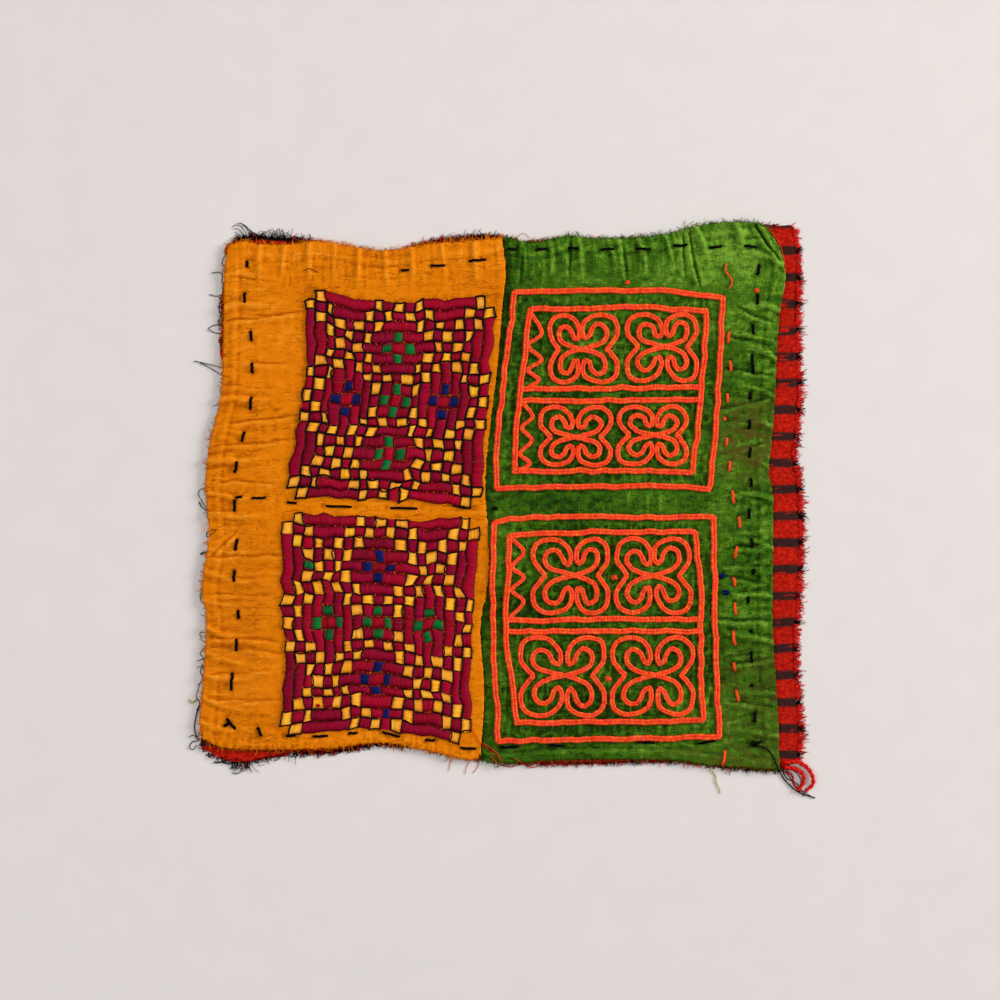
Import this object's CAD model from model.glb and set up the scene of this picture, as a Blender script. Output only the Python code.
import functools
import math

import bpy
import numpy as np
from bpy.props import FloatProperty, FloatVectorProperty, PointerProperty
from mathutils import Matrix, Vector


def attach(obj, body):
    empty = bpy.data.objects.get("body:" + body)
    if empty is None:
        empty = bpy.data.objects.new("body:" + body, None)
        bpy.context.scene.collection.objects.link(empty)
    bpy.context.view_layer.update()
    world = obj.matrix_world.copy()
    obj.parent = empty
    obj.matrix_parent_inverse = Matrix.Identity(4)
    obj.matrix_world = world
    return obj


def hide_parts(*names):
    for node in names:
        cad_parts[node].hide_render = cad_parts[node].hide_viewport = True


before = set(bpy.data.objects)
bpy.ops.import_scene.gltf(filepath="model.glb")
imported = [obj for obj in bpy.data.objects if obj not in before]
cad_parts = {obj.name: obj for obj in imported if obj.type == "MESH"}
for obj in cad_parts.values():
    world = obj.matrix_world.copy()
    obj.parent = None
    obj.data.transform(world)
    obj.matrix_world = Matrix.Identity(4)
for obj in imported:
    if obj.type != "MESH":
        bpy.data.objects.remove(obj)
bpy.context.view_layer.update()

bl_info = {
    "name": "Embroidered textile panel",
    "version": (1, 0, 0),
    "blender": (4, 2, 0),
    "location": "3D View > Sidebar > Textile",
    "description": "Builds a flat embroidered cotton panel from its sizes and colours",
    "category": "Object",
}

MM = 0.001
# Places in the tables' own x and y, in mm: the origin of the part and the middle of the photograph.
CENTRE = (-3.044, -1.285)
VIEW_MIDDLE = (-1.5, 4.0)

# Levels in mm above the surface on which the panel lies.
BACKING_TOP = 1.0
PANEL_TOP = 2.3

# Half the side in mm of the square that rasters cover.
RASTER_REACH = 160

# The backing's dark stripes: place up of the first one and distance between two, in mm.
FIRST_STRIPE = 142.0
STRIPE_PITCH = 13.275

# Cells along a side of a check block, the index of the middle one, and their size in mm.
CELLS = 19
MIDDLE = CELLS // 2
CELL_SIZE = 5.3

# Edges of the cloths. Columns: x, y in mm.
SEAM = [
    (-11.3, -122.5), (-9.5, -91), (-11.3, -58.5), (-7.5, -36), (-7.7, -12), (-9.1, 13),
    (-6.4, 42.3), (-3.2, 67.3), (0, 104), (1.2, 118.2), (-0.5, 134.5),
]
ORANGE_EDGES = {
    "top": [
        (-137.1, 130.7), (-130, 132.8), (-121, 131.2), (-106, 131.2), (-92.1, 132.9),
        (-69.5, 129.1), (-58.5, 128), (-39, 131), (-12, 133.5), (-0.5, 134.5),
    ],
    "left": [
        (-149.6, -115), (-151.3, -109.5), (-149.8, -91), (-148, -52), (-150.1, -42.3),
        (-146.5, -12), (-148.3, 9.8), (-145.8, 33.7), (-140.9, 54), (-139.3, 93.3),
        (-138.6, 121.5), (-137.1, 130.7),
    ],
    "bottom": [
        (-149.6, -115), (-142, -118.8), (-124.6, -120.4), (-85.6, -119.5), (-60.5, -116.9),
        (-40, -120.4), (-14.5, -125.3), (-11.3, -122.5),
    ],
    "right": SEAM,
}
GREEN_EDGES = {
    "top": [
        (0.1, 134.5), (16.4, 132), (33.2, 135.6), (44.3, 134.2), (77.8, 135.6), (95.7, 140.1),
        (113.5, 142.3), (128, 141.2), (133.6, 137.3),
    ],
    "right": [
        (138, -130.4), (137.2, -104), (134.5, -59.5), (134.2, 8.2), (132.5, 17), (134.7, 41.7),
        (138, 98.2), (140.9, 115), (138, 129.5), (133.6, 137.3),
    ],
    "bottom": [
        (-10.7, -122.5), (-8.5, -126.1), (33.2, -125), (89, -125.7), (100, -127.5), (138, -130.4),
    ],
    "left": [(x + 0.6, y) for x, y in SEAM],
}
BACKING_TOP_EDGE = [
    (-139, 129.5), (-133, 134.2), (-104, 133.5), (-81.5, 129.6), (-58.5, 126.6), (-36.5, 132.5),
    (-1.5, 135.2), (6, 133), (24, 134), (73.5, 135), (93.5, 138.5), (108, 141.3), (144.5, 141),
]
BACKING_RIGHT_EDGE = [
    (144.5, 141), (146.5, 129), (146.5, 79), (147.5, 54), (145, 25), (147, 14), (148.3, -20),
    (145.5, -71), (148, -113.5), (147, -127),
]
BACKING_BOTTOM_EDGE = [
    (147, -127), (138, -130.8), (111, -129.6), (88.5, -127), (-0.5, -127), (-51.5, -118.3),
    (-61.5, -117.5), (-85.6, -121.6), (-101.5, -122.2), (-118, -124.9), (-131.5, -127.2),
    (-142, -124.9), (-150.5, -120.4),
]
BACKING_LEFT_EDGE = [
    (-150.5, -120.4), (-150.4, -112), (-148.6, -91), (-146.8, -52), (-148.9, -42.3), (-145.3, -12),
    (-147.1, 9.8), (-144.6, 33.7), (-140.2, 54), (-140.8, 78), (-140.9, 93.3), (-140.2, 106),
    (-138, 121.5), (-139, 129.5),
]
# Lines that loose ends leave, clockwise: the edges of the backing, and one below the orange edge.
FRAY_LINES = {
    "top": BACKING_TOP_EDGE,
    "right": BACKING_RIGHT_EDGE,
    "bottom": BACKING_BOTTOM_EDGE,
    "left": BACKING_LEFT_EDGE,
    "under": ORANGE_EDGES["bottom"][::-1],
}
BACKING_EDGES = {
    "top": BACKING_TOP_EDGE,
    "right": BACKING_RIGHT_EDGE[::-1],
    "bottom": BACKING_BOTTOM_EDGE[::-1],
    "left": BACKING_LEFT_EDGE,
}

# Folds. Columns: place along the edge as a share, half width in mm, rise in mm, slant in mm.
ORANGE_LEFT_FOLDS = [
    (0.035, 1.6, 1.0, 2), (0.085, 1.2, 0.8, -3), (0.13, 1.5, 1.3, 4), (0.175, 1.1, 0.8, -2),
    (0.225, 1.6, 1.4, -5), (0.28, 1.2, 0.8, 3), (0.34, 1.7, 1.2, -4), (0.385, 1.0, 0.6, 2),
    (0.455, 1.8, 1.6, 3), (0.5, 1.2, 1.2, -2), (0.565, 1.7, 1.4, 4), (0.63, 1.2, 0.7, -3),
    (0.69, 1.7, 1.5, 2), (0.77, 1.4, 0.8, -4), (0.875, 1.9, 1.6, 3), (0.94, 1.5, 0.8, -2),
]
ORANGE_TOP_FOLDS = [
    (0.12, 1.8, 0.8, 1), (0.21, 1.2, 0.6, -1), (0.3, 1.8, 0.9, 1), (0.39, 1.2, 0.7, 0),
    (0.48, 1.6, 1.0, -1), (0.575, 1.2, 0.7, 1), (0.67, 1.6, 0.9, 0), (0.78, 1.2, 0.6, 1),
    (0.9, 1.8, 1.0, -1),
]
GREEN_RIGHT_FOLDS = [
    (0.06, 1.6, 1.1, 3), (0.14, 1.2, 0.8, -2), (0.235, 1.7, 1.5, 2), (0.32, 1.2, 0.8, -3),
    (0.41, 1.4, 1.0, 2), (0.5, 1.8, 1.6, -2), (0.56, 1.2, 0.9, 3), (0.635, 1.6, 1.4, -4),
    (0.69, 1.2, 1.0, 2), (0.76, 1.7, 1.5, 3), (0.85, 1.5, 0.9, -3), (0.93, 1.8, 1.2, 4),
]
GREEN_TOP_FOLDS = [
    (0.07, 1.4, 0.8, 0), (0.17, 1.2, 0.6, 1), (0.28, 1.6, 1.0, -1), (0.39, 1.2, 0.7, 1),
    (0.5, 1.6, 0.9, 0), (0.6, 1.2, 0.7, -1), (0.71, 1.9, 1.9, 2), (0.86, 2.2, 1.5, -3),
    (0.95, 1.6, 1.1, 2),
]

# Sharp creases. Columns: x, y of both ends in mm, depth in mm.
ORANGE_CREASES = [
    (-139, 93, -98, 99, 0.8), (-130, 97.5, -108, 96, 0.4), (-142, 42, -100, 46.5, 0.6),
    (-146, 31, -106, 34, 0.7), (-143, 62, -112, 59, 0.3), (-148, -25, -108, -22.6, 0.6),
    (-146, -25, -131, -9, 0.5), (-148, -64.6, -110, -66.6, 0.8), (-148, -69, -108, -72.4, 0.5),
    (-149, -95, -110, -96, 0.6), (-149, -42, -112, -44, 0.5), (-140, 74, -104, 72, 0.4),
    (-147, 14, -110, 12.6, 0.5), (-139, 116, -112, 113.5, 0.35), (-148, -83, -118, -81, 0.4),
]
GREEN_CREASES = [
    (125.6, 141, 138.6, 123, 1.4), (130, 142, 140, 131, 0.8), (93, 138, 99, 109.4, 1.3),
    (89.5, 137, 92, 114, 0.6), (111.7, 86, 134, 81.5, 0.7), (106, 49.5, 133, 55.5, 0.9),
    (108, 27, 132, 33, 0.9), (105.6, -55.4, 134, -56, 1.0), (112, -20, 134, -17, 0.6),
    (110, 70, 134, 66, 0.5), (117, 100, 136, 92, 0.7), (110, -34, 134, -38, 0.6),
    (112, -78, 135, -74, 0.5), (110, 8, 133, 4, 0.5), (60, 134, 62, 112, 0.6),
    (33, 134, 34, 113, 0.5), (10, 132, 9, 110, 0.5), (112, -96, 136, -100, 0.5),
]

# Check blocks. Columns: x, y in mm, left to right or bottom to top.
CHECK_BLOCKS = {
    "check_block_upper": {
        "top": [(-98.5, 110.5), (-75, 105), (-50, 103), (-25, 104.5), (-3.3, 106)],
        "right": [(-11.4, -0.3), (-9.2, 42), (-6.9, 63.7), (-3.3, 106)],
        "bottom": [(-108.3, 5.3), (-68.5, 4.7), (-48.3, 3.9), (-11.4, -0.3)],
        "left": [(-108.3, 5.3), (-101.3, 45.8), (-98.2, 68), (-98.5, 110.5)],
    },
    "check_block_lower": {
        "top": [(-109.8, -1.5), (-69, -4.4), (-50, -4.8), (-12, -4.3)],
        "right": [(-16.3, -117.3), (-16.5, -110.5), (-15.2, -60), (-12.3, -11), (-12, -4.3)],
        "bottom": [(-110.8, -113.5), (-74, -110.3), (-54, -110.5), (-24, -116.2), (-16.3, -117.3)],
        "left": [(-110.8, -113.5), (-110.6, -105), (-108, -69), (-109.7, -44), (-109.8, -1.5)],
    },
}
# The five flowers of each block. Columns: row and column of the middle, colour of the petals.
FLOWERS = {
    "check_block_upper": [
        (4, 9, "leaf"), (14, 9, "leaf"), (9, 4, "navy"), (9, 14, "navy"), (9, 9, "leaf"),
    ],
    "check_block_lower": [
        (4, 9, "navy"), (14, 9, "navy"), (9, 4, "leaf"), (9, 14, "leaf"), (9, 9, "leaf"),
    ],
}

# Thickness of the black outlines as a share of the setting.
OUTLINE_SHARES = {"check_block_upper": 0.92, "check_block_lower": 0.7}

# Single cells that differ from the pattern. Columns: block, row, column, colour.
ODD_CELLS = [("check_block_lower", 4, 2, "leaf"), ("check_block_lower", 17, 10, "navy")]

# Chain-stitched frames. Points x, y in mm, clockwise from the top left, and the unevenness of the
# loop in mm.
FRAMES = {
    "outer_frame_upper": {
        "loop": [
            (5.8, 107.7), (44, 108.5), (78, 108.8), (109.6, 104.9), (109, 87), (106.3, 41.7),
            (102.9, 9.3), (78, 11), (27.6, 10.7), (-3.2, 9.5), (-3.7, 25), (-0.4, 58), (3, 87),
        ],
        "rules": [],
        "zigzags": [],
        "uneven": 0.36,
    },
    "outer_frame_lower": {
        "loop": [
            (-4.3, -7.4), (3, -5.4), (27.6, -4.3), (105.1, -4.6), (105.7, -59.5), (107.9, -114.2),
            (66.6, -115), (-2.6, -116.5), (-2.6, -98.6), (-4.8, -76), (-5.2, -31.6),
        ],
        "rules": [],
        "zigzags": [],
        "uneven": 0.36,
    },
    "inner_frame_upper": {
        "loop": [
            (13.6, 99.3), (78, 100.1), (101.2, 98.4), (101.2, 87), (98.5, 53), (94.5, 17.7),
            (66.7, 18.3), (5.8, 18.3), (6.4, 36), (8.6, 58.4), (11.4, 81.5),
        ],
        "rules": [[(9, 59.2), (98.6, 60.3)], [(8.4, 53.1), (98.2, 54)]],
        "zigzags": [
            [(13.4, 98.2), (19.2, 87), (12.5, 81), (19.2, 74), (12.5, 69), (17.6, 64), (13, 60.4)],
            [(9.6, 52.6), (14.6, 45.6), (9.4, 40), (14.4, 34), (8.4, 27), (13.2, 22.4), (8, 18.8)],
        ],
        "uneven": 0.34,
    },
    "inner_frame_lower": {
        "loop": [
            (3, -14.1), (22, -12.5), (95.7, -11.9), (98.5, -37), (98.5, -82), (100.1, -105.8),
            (66.6, -106.6), (6.9, -107), (5.3, -93), (1.9, -70.7), (1.4, -48), (3, -31.6),
        ],
        "rules": [[(1.8, -55.9), (98.3, -55.3)], [(1.8, -61.5), (98.3, -61.5)]],
        "zigzags": [
            [
                (3.6, -14.6), (10.2, -22), (4.6, -29.5), (10.4, -34.5), (4.4, -41), (10.2, -46.6),
                (3.8, -54.2),
            ],
        ],
        "uneven": 0.34,
    },
}
# One hook of a scroll as shares of its half width and half height, from the waist to the middle.
HOOK = [
    (0.7, 0), (0.84, 0.18), (0.97, 0.38), (1.0, 0.62), (0.91, 0.87), (0.64, 1.0), (0.34, 0.95),
    (0.13, 0.76), (0.07, 0.5), (0.13, 0.32), (0.24, 0.38), (0.32, 0.58), (0.46, 0.71),
    (0.64, 0.64), (0.7, 0.43), (0.6, 0.23), (0.33, 0.09),
]
# The point of the hook from which on it runs inside its bend.
HOOK_INSIDE = 7
# Columns: left, right, bottom, top, middle across, middle up in mm.
SCROLLS = {
    "scroll_upper_1": (22, 58.6, 61.6, 97.4, 38.6, 79.2),
    "scroll_upper_2": (60.6, 97.8, 62.4, 97.8, 80.6, 80.4),
    "scroll_upper_3": (17.4, 55.0, 20.3, 51.4, 36.2, 35.4),
    "scroll_upper_4": (56.2, 92.8, 20.6, 51.7, 75.8, 36.4),
    "scroll_lower_1": (13.6, 53.6, -53.7, -14.6, 35.4, -33.6),
    "scroll_lower_2": (55.2, 94.6, -53.4, -14.2, 74.6, -33.8),
    "scroll_lower_3": (7.4, 51.6, -104.7, -63.4, 30.5, -83.6),
    "scroll_lower_4": (53.4, 95.9, -104.2, -63.6, 75.6, -83.4),
}

# Running stitches. Columns: x, y of the upper or left end, length in mm, turn in degrees.
BLACK_UPRIGHT = [
    (-127.8, 123.5, 3.6, 4), (-128.9, 107.7, 6.2, -2), (-126.2, 88.7, 5.3, 6),
    (-125.3, 72.5, 5.2, 2), (-125.6, 56.1, 7.3, -4), (-129, 38.3, 5.5, -16),
    (-132.6, 24.1, 7, -10), (-134, 4.4, 6.2, 0),
    (-132.6, -15, 6.8, -10), (-134, -31, 6.4, -2), (-132.4, -50.6, 4.8, 6), (-133, -65.2, 6.4, -2),
    (-135.2, -82, 9.4, -3), (-138.3, -104.9, 8.1, 41.5), (-136.6, -107.2, 3.4, -56),
    (-122.7, -109.3, 5.4, 24),
    (128, 122, 6, -8), (127, 107, 6, 0), (124.6, 92, 5.5, 6), (124.2, 77.5, 10.5, 4),
    (123.4, 58, 4, 0), (123, 44, 4.5, -3), (123.5, 30.5, 6, -6), (123.7, 15, 4.5, 4),
    (122.9, 0, 5.5, -2), (123.9, -15, 5, 5), (125, -30.5, 2.5, 0), (122.5, -44, 3.5, -8),
    (124, -61, 1.2, 0), (123.8, -71.5, 6, 3), (124.2, -88, 1.2, 0), (126, -101.5, 5.5, -8),
]
BLACK_LEVEL = [
    (-133.8, 5.2, 3.6, 6), (-126.3, 4.8, 8.2, 3), (-108, 2.8, 5.2, -5), (-90.2, 1, 16.4, -2),
    (-58.3, 0.1, 17.4, -1), (-26.3, 1.3, 11.5, -6), (-108.7, -113.7, 5.4, 0),
    (-95.5, -114.1, 9, 3), (-77.6, -112.6, 5.2, 4), (-61, -111.6, 10.4, -16),
    (-39, -115.8, 5.4, -2), (-22, -119.6, 9.4, -4),
    (-51, 118.7, 4.5, 1), (-36.5, 121, 8.5, 0), (-17.5, 123.4, 9.5, 4),
    (2, 129.2, 5, 0), (16.5, 129, 6.5, 3), (32.5, 129.7, 6, -2), (48.5, 129, 7.5, 2),
    (66.5, 129.5, 7.5, -3), (84.5, 131, 8, 2), (102.5, 130, 7, 4), (119, 131, 8, -6),
    (-1.5, -119.6, 9.5, 3), (22.5, -118.5, 8, -2), (66.5, -116.8, 10, -3), (96.5, -117.8, 11, 10),
    (124, -118.5, 6, 20),
]
RED_UPRIGHT = [
    (113, 88.5, 6.5, -6), (113.4, 74, 6, 4), (111.9, 57.5, 5, 4), (110.8, 45, 1.2, 0),
    (112, 35, 4, -10), (113.4, 23.5, 5.5, -6), (114.6, 9, 7, 6), (117.7, -4, 6.5, 6),
    (117, -19, 6.5, -12), (115.2, -34.5, 5, 8), (115.6, -47, 6.5, 6), (114.6, -61, 8, 9),
    (115, -77, 4.5, 12), (116.2, -90.5, 6.5, 14), (111, -120.5, 8.5, -8),
]
# Knots. Columns: x, y, reach in mm, colour.
KNOTS = [
    (109.5, -34, 2.0, "navy"), (111.2, -42.2, 1.9, "navy"), (-4.2, -0.3, 1.3, "black"),
    (126.6, 108.6, 1.3, "scroll"), (55.5, -34.7, 1.7, "scroll"), (52.5, -85.2, 1.8, "scroll"),
    (62, 112.7, 1.2, "scroll"), (125.5, -117.6, 2.2, "black"), (-92.3, -98.6, 1.2, "crimson"),
]
# Loose threads. Columns: colour, radius in mm, points x, y in mm.
LOOSE_THREADS = [
    ("black", 0.24, [(-99.5, 118.4), (-97, 119.4), (-94.4, 118.8), (-92, 117.4)]),
    ("red", 0.16, [(-19, -105.5), (-15.5, -111), (-11, -117.5), (-5.4, -122.3), (-1, -126)]),
    ("red", 0.18, [(-25, -123), (-26.6, -128), (-27, -131.5)]),
    ("red", 0.18, [(-16, -125), (-18.4, -130), (-19, -133)]),
    ("red", 0.18, [(-12, -125.6), (-13, -130), (-15.2, -132.6)]),
    ("red", 0.14, [(6, 134.2), (10, 137.4), (13.6, 134.8)]),
    ("lime", 0.2, [(91, 137.6), (92.6, 141.6), (95.6, 143.4)]),
    ("lime", 0.2, [(93, 138), (90.6, 141), (91.4, 143.8)]),
    ("lime", 0.16, [(94, 138.6), (96, 142), (99.4, 142.6)]),
    ("scroll", 0.5, [(111.4, 122), (111.2, 118), (113.6, 115.2), (114.4, 112.6), (113, 109.6)]),
    ("red", 0.3, [(-10, -117.5), (-6, -120), (-2.5, -123.2), (-1.2, -126.5), (-3, -130)]),
    ("red", 0.26, [(-6, -124), (-2, -128), (4, -129.4), (10, -127.6)]),
    ("red", 0.26, [(6, -125), (14, -129.6), (21, -128), (27, -129.4)]),
    ("lime", 0.3, [(104, -131), (106.2, -134), (106.4, -137), (108, -140), (108.6, -142.6)]),
    ("lime", 0.4, [(-153, -95.6), (-155.4, -97.4), (-157, -95.8)]),
    ("black", 0.42, [
        (127, -118.5), (131, -120), (134.5, -123.5), (136.8, -129), (140.5, -135.5), (147, -141.6),
        (156, -145),
    ]),
    ("black", 0.3, [(139, -129.5), (141.6, -135), (146.4, -137.4), (150, -142), (154, -144)]),
    ("plum", 0.3, [(138.6, -130), (143, -134.2), (147, -140.4), (152, -142.4)]),
    ("plum", 0.3, [(140, -130.4), (145.6, -131.6), (149, -136.6), (147.6, -141), (150.5, -144)]),
    ("red", 1.15, [
        (140.5, -127.2), (146, -126.6), (150.6, -128.6), (154.2, -133), (154.8, -138),
        (151, -141.4),
    ]),
    ("red", 1.15, [(140.8, -129.6), (145.6, -130.2), (149.6, -133), (150, -137.4), (147.2, -141)]),
    ("crimson", 0.6, [(141.4, -131.4), (144.6, -134), (145.2, -138), (148.6, -141.6)]),
    ("scroll", 0.18, [
        (130, 141.8), (134.2, 137.6), (138, 132.6), (139.7, 127.2), (141.2, 121.1), (140.9, 116),
    ]),
    ("black", 0.22, [(-138.4, 127.2), (-139.9, 124.6), (-140.5, 121.9), (-138.7, 120.1)]),
    ("black", 0.26, [
        (-145.7, 117.4), (-142.6, 117.8), (-140.5, 117), (-140.6, 113.8), (-140.6, 112),
    ]),
    ("black", 0.24, [(-146.6, 106.7), (-143.5, 105.8), (-139.9, 106.7)]),
    ("black", 0.26, [
        (-142, 105.4), (-140.2, 104), (-141.6, 102.2), (-142, 98.7), (-141.2, 96), (-142.5, 93.3),
        (-141.7, 91.5),
    ]),
    ("black", 0.26, [
        (-139.9, 90.6), (-143.5, 91.5), (-147.2, 89.6), (-143.9, 87.5), (-139.9, 87.2),
    ]),
    ("black", 0.24, [(-154.4, 73.5), (-147, 71.8), (-140.2, 70)]),
    ("black", 0.24, [(-151.3, 72.5), (-146, 69.8), (-141, 66.3)]),
    ("black", 0.18, [(-142.4, 52), (-145, 50.8)]),
    ("black", 0.2, [(-147.4, 8), (-150.6, 9.6), (-152.4, 7.6), (-151, 4)]),
    ("black", 0.3, [(-151.9, 3), (-150.9, 0.8), (-149, -0.8), (-147.2, -1.6)]),
    ("black", 0.2, [(-150.9, 4), (-149.6, 1.6), (-148, 0)]),
    ("black", 0.24, [
        (-143.2, -11.3), (-145.5, -10.8), (-148.2, -12.6), (-147.9, -14.5), (-145.8, -13.1),
        (-143.6, -12),
    ]),
    ("black", 0.44, [(-151.2, -23.1), (-148.8, -21.9)]),
    ("black", 0.2, [(-151.4, -31.7), (-149.4, -32.2)]),
    ("black", 0.2, [(-149.4, -41.4), (-151.3, -42.9), (-151, -46.2), (-149.4, -48)]),
    ("black", 0.2, [(-149, -62), (-151.6, -62.6), (-150.6, -65.4)]),
    ("black", 0.22, [(-149.6, -70.4), (-151.5, -72.8), (-150, -74.6)]),
    ("black", 0.24, [(-149, -75), (-150.8, -75.6), (-153, -76.6)]),
    ("black", 0.24, [(-149, -80.4), (-151.4, -79.1), (-153, -80.2)]),
    ("black", 0.22, [
        (-150, -78.1), (-151.4, -81.9), (-150.2, -85.1), (-151.8, -88.3), (-152.6, -91.5),
        (-153.4, -94.1), (-151.8, -97.3), (-153.2, -101),
    ]),
    ("black", 0.36, [
        (-151.4, -98.5), (-153, -102), (-153.8, -106), (-154.3, -109.1), (-153.8, -112.7),
        (-152, -116.4),
    ]),
    ("black", 0.22, [(-156.9, -114.6), (-155, -113.5), (-153.2, -114.5), (-151.8, -111.9)]),
    ("black", 0.26, [
        (-152.6, -116.5), (-155.4, -117), (-156.7, -119.8), (-155.1, -120.8), (-153.1, -118.5),
    ]),
    ("black", 0.22, [(-144.9, -127.4), (-141.1, -126.9), (-137.6, -128.2)]),
    ("black", 0.24, [(-135.2, -132.3), (-132.9, -132.9), (-130.9, -131.5), (-131.1, -128.4)]),
]

# Frayed stretches. Columns: edge, first and last share, spacing, shortest and longest thread in
# mm, spread and curl of their headings in radians, radius in mm, share of dark threads outside
# the stripes.
FRAYS = {
    "fray_right": [
        ("right", 0.0, 1.0, 0.17, 0.6, 3.0, 0.6, 0.9, 0.3, 0.02),
        ("right", 0.02, 0.98, 0.6, 1.4, 4.6, 0.5, 0.9, 0.24, 0.03),
    ],
    "fray_top_left": [
        ("top", 0.02, 0.17, 0.15, 0.4, 2.4, 0.9, 1.8, 0.22, 0.97),
        ("top", 0.06, 0.16, 0.7, 2.0, 5.0, 0.6, 1.8, 0.22, 1.0),
        ("top", 0.12, 0.2, 0.4, 0.8, 3.6, 1.2, 1.5, 0.24, 0.1),
    ],
    "fray_top_middle": [
        ("top", 0.33, 0.52, 0.16, 0.6, 2.2, 1.0, 1.6, 0.22, 0.8),
        ("top", 0.38, 0.48, 0.8, 2.0, 4.0, 0.8, 1.8, 0.2, 0.9),
        ("top", 0.33, 0.39, 0.8, 1.0, 3.0, 0.8, 1.8, 0.24, 0.0),
        ("top", 0.52, 0.98, 0.4, 0.4, 1.6, 1.2, 1.2, 0.18, 0.3),
    ],
    "fray_bottom_left": [
        ("bottom", 0.65, 0.84, 0.12, 0.6, 2.6, 1.1, 1.8, 0.22, 0.8),
        ("bottom", 0.84, 0.99, 0.3, 0.1, 1.6, 1.1, 1.8, 0.2, 0.75),
        ("bottom", 0.82, 0.98, 0.8, 2.0, 5.0, 0.7, 3.0, 0.2, 0.95),
        ("bottom", 0.915, 0.945, 0.3, 2.5, 6.0, 0.4, 2.0, 0.2, 0.9),
        ("bottom", 0.66, 0.78, 0.5, 0.8, 3.4, 1.0, 1.5, 0.2, 0.5),
        ("under", 0.6, 0.97, 0.12, -0.2, 0.9, 1.2, 1.6, 0.24, 1.0),
    ],
    "fray_bottom_right": [
        ("bottom", 0.02, 0.62, 0.2, 0.4, 1.6, 1.2, 1.4, 0.2, 0.7),
        ("bottom", 0.06, 0.46, 2.4, 1.2, 3.2, 0.8, 1.6, 0.18, 0.5),
    ],
    "threads_left": [
        ("left", 0.79, 0.91, 0.35, 0.4, 1.8, 1.4, 1.6, 0.2, 0.55),
        ("left", 0.0, 0.06, 0.3, 0.4, 1.8, 1.4, 1.6, 0.2, 0.9),
        ("left", 0.0, 0.4, 4.2, 2.2, 4.4, 1.2, 2.8, 0.18, 0.95),
    ],
}

# Longer threads of a frayed stretch, with the columns of the loose threads.
FRAY_THREADS = {
    "fray_top_left": [
        ("black", 0.2, [(-130.5, 133.8), (-131.8, 136.6), (-134, 138)]),
        ("black", 0.2, [(-129.4, 133.8), (-130.6, 137.6), (-132.8, 139.6), (-134.8, 139.4)]),
        ("black", 0.2, [(-128, 133.8), (-129, 138), (-131.4, 141), (-134, 141.4), (-135, 140.2)]),
        ("black", 0.2, [(-126.6, 133.8), (-127.4, 138.4), (-130, 141.8), (-133, 142.4)]),
        ("black", 0.2, [(-125, 133.8), (-126, 137.8), (-128.4, 140.8), (-131.4, 142.6)]),
        ("black", 0.2, [(-123.4, 133.6), (-124.8, 137), (-127.4, 139.8), (-130, 141.2)]),
        ("black", 0.2, [(-121.6, 133.6), (-123.4, 136.4), (-126, 138.6), (-128, 140.4)]),
        ("black", 0.2, [(-119, 133.4), (-121, 135.6), (-124.6, 137.4)]),
        ("black", 0.22, [(-110.4, 133.4), (-111.2, 136.4), (-112, 140)]),
        ("black", 0.22, [(-108.6, 133.4), (-109.6, 136.2), (-110.2, 139.6)]),
    ],
}

# Satin stitch by colour. Columns: threads as a share of the setting, rise in mm.
SATIN = {
    "yellow": (1.3, 0.6), "maroon": (1.0, 1.25), "small maroon": (1.0, 1.0),
    "leaf": (1.35, 1.1), "navy": (1.35, 1.1), "crimson": (1.0, 1.1),
}
# The same stitch from end to end. Columns: share of its length, share of its rise, shade, shine.
SATIN_SECTION = (
    (0.03, 0.05, 0.2, 0), (0.14, 0.66, 0.7, 0.1), (0.34, 0.96, 1.1, 0.3),
    (0.66, 0.96, 1.1, 0.3), (0.86, 0.66, 0.7, 0.1), (0.97, 0.05, 0.2, 0),
)
# Number of specks of the orange ground that show between the bars of a block.
SPECKS = 260

# A side of a chain-stitch link. Columns: place along the link, place to its side as a share of
# the width, height in mm, thickness as a share, wear.
LINK = (
    (-0.62, 0.18, 0.3, 0.75, 0.6), (-0.3, 0.44, 0.66, 1.0, 0.9), (0.1, 0.5, 0.78, 1.06, 1.1),
    (0.5, 0.42, 0.86, 1.0, 1.2), (0.8, 0.18, 0.66, 0.75, 0.8),
)

# Colours as they look, in eight-bit steps.
TINTS = {
    "maroon": (148, 0, 38),
    "plum": (118, 0, 36),
    "crimson": (160, 2, 28),
    "leaf": (4, 102, 40),
    "navy": (4, 20, 76),
    "yellow": (255, 157, 30),
    "scroll": (252, 78, 36),
    "black": (9, 6, 8),
    "red": (206, 30, 22),
    "lime": (158, 168, 60),
    "shine": (255, 186, 84),
    "speck": (226, 96, 20),
}


def linear(colour):
    """Eight-bit display steps as the linear values that shaders take."""
    shares = [step / 255 for step in colour]
    return tuple(s / 12.92 if s <= 0.04045 else ((s + 0.055) / 1.055) ** 2.4 for s in shares)


def thread_colour(name):
    """The linear colour of a thread of the table above."""
    return np.array(linear(TINTS[name]))


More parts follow.
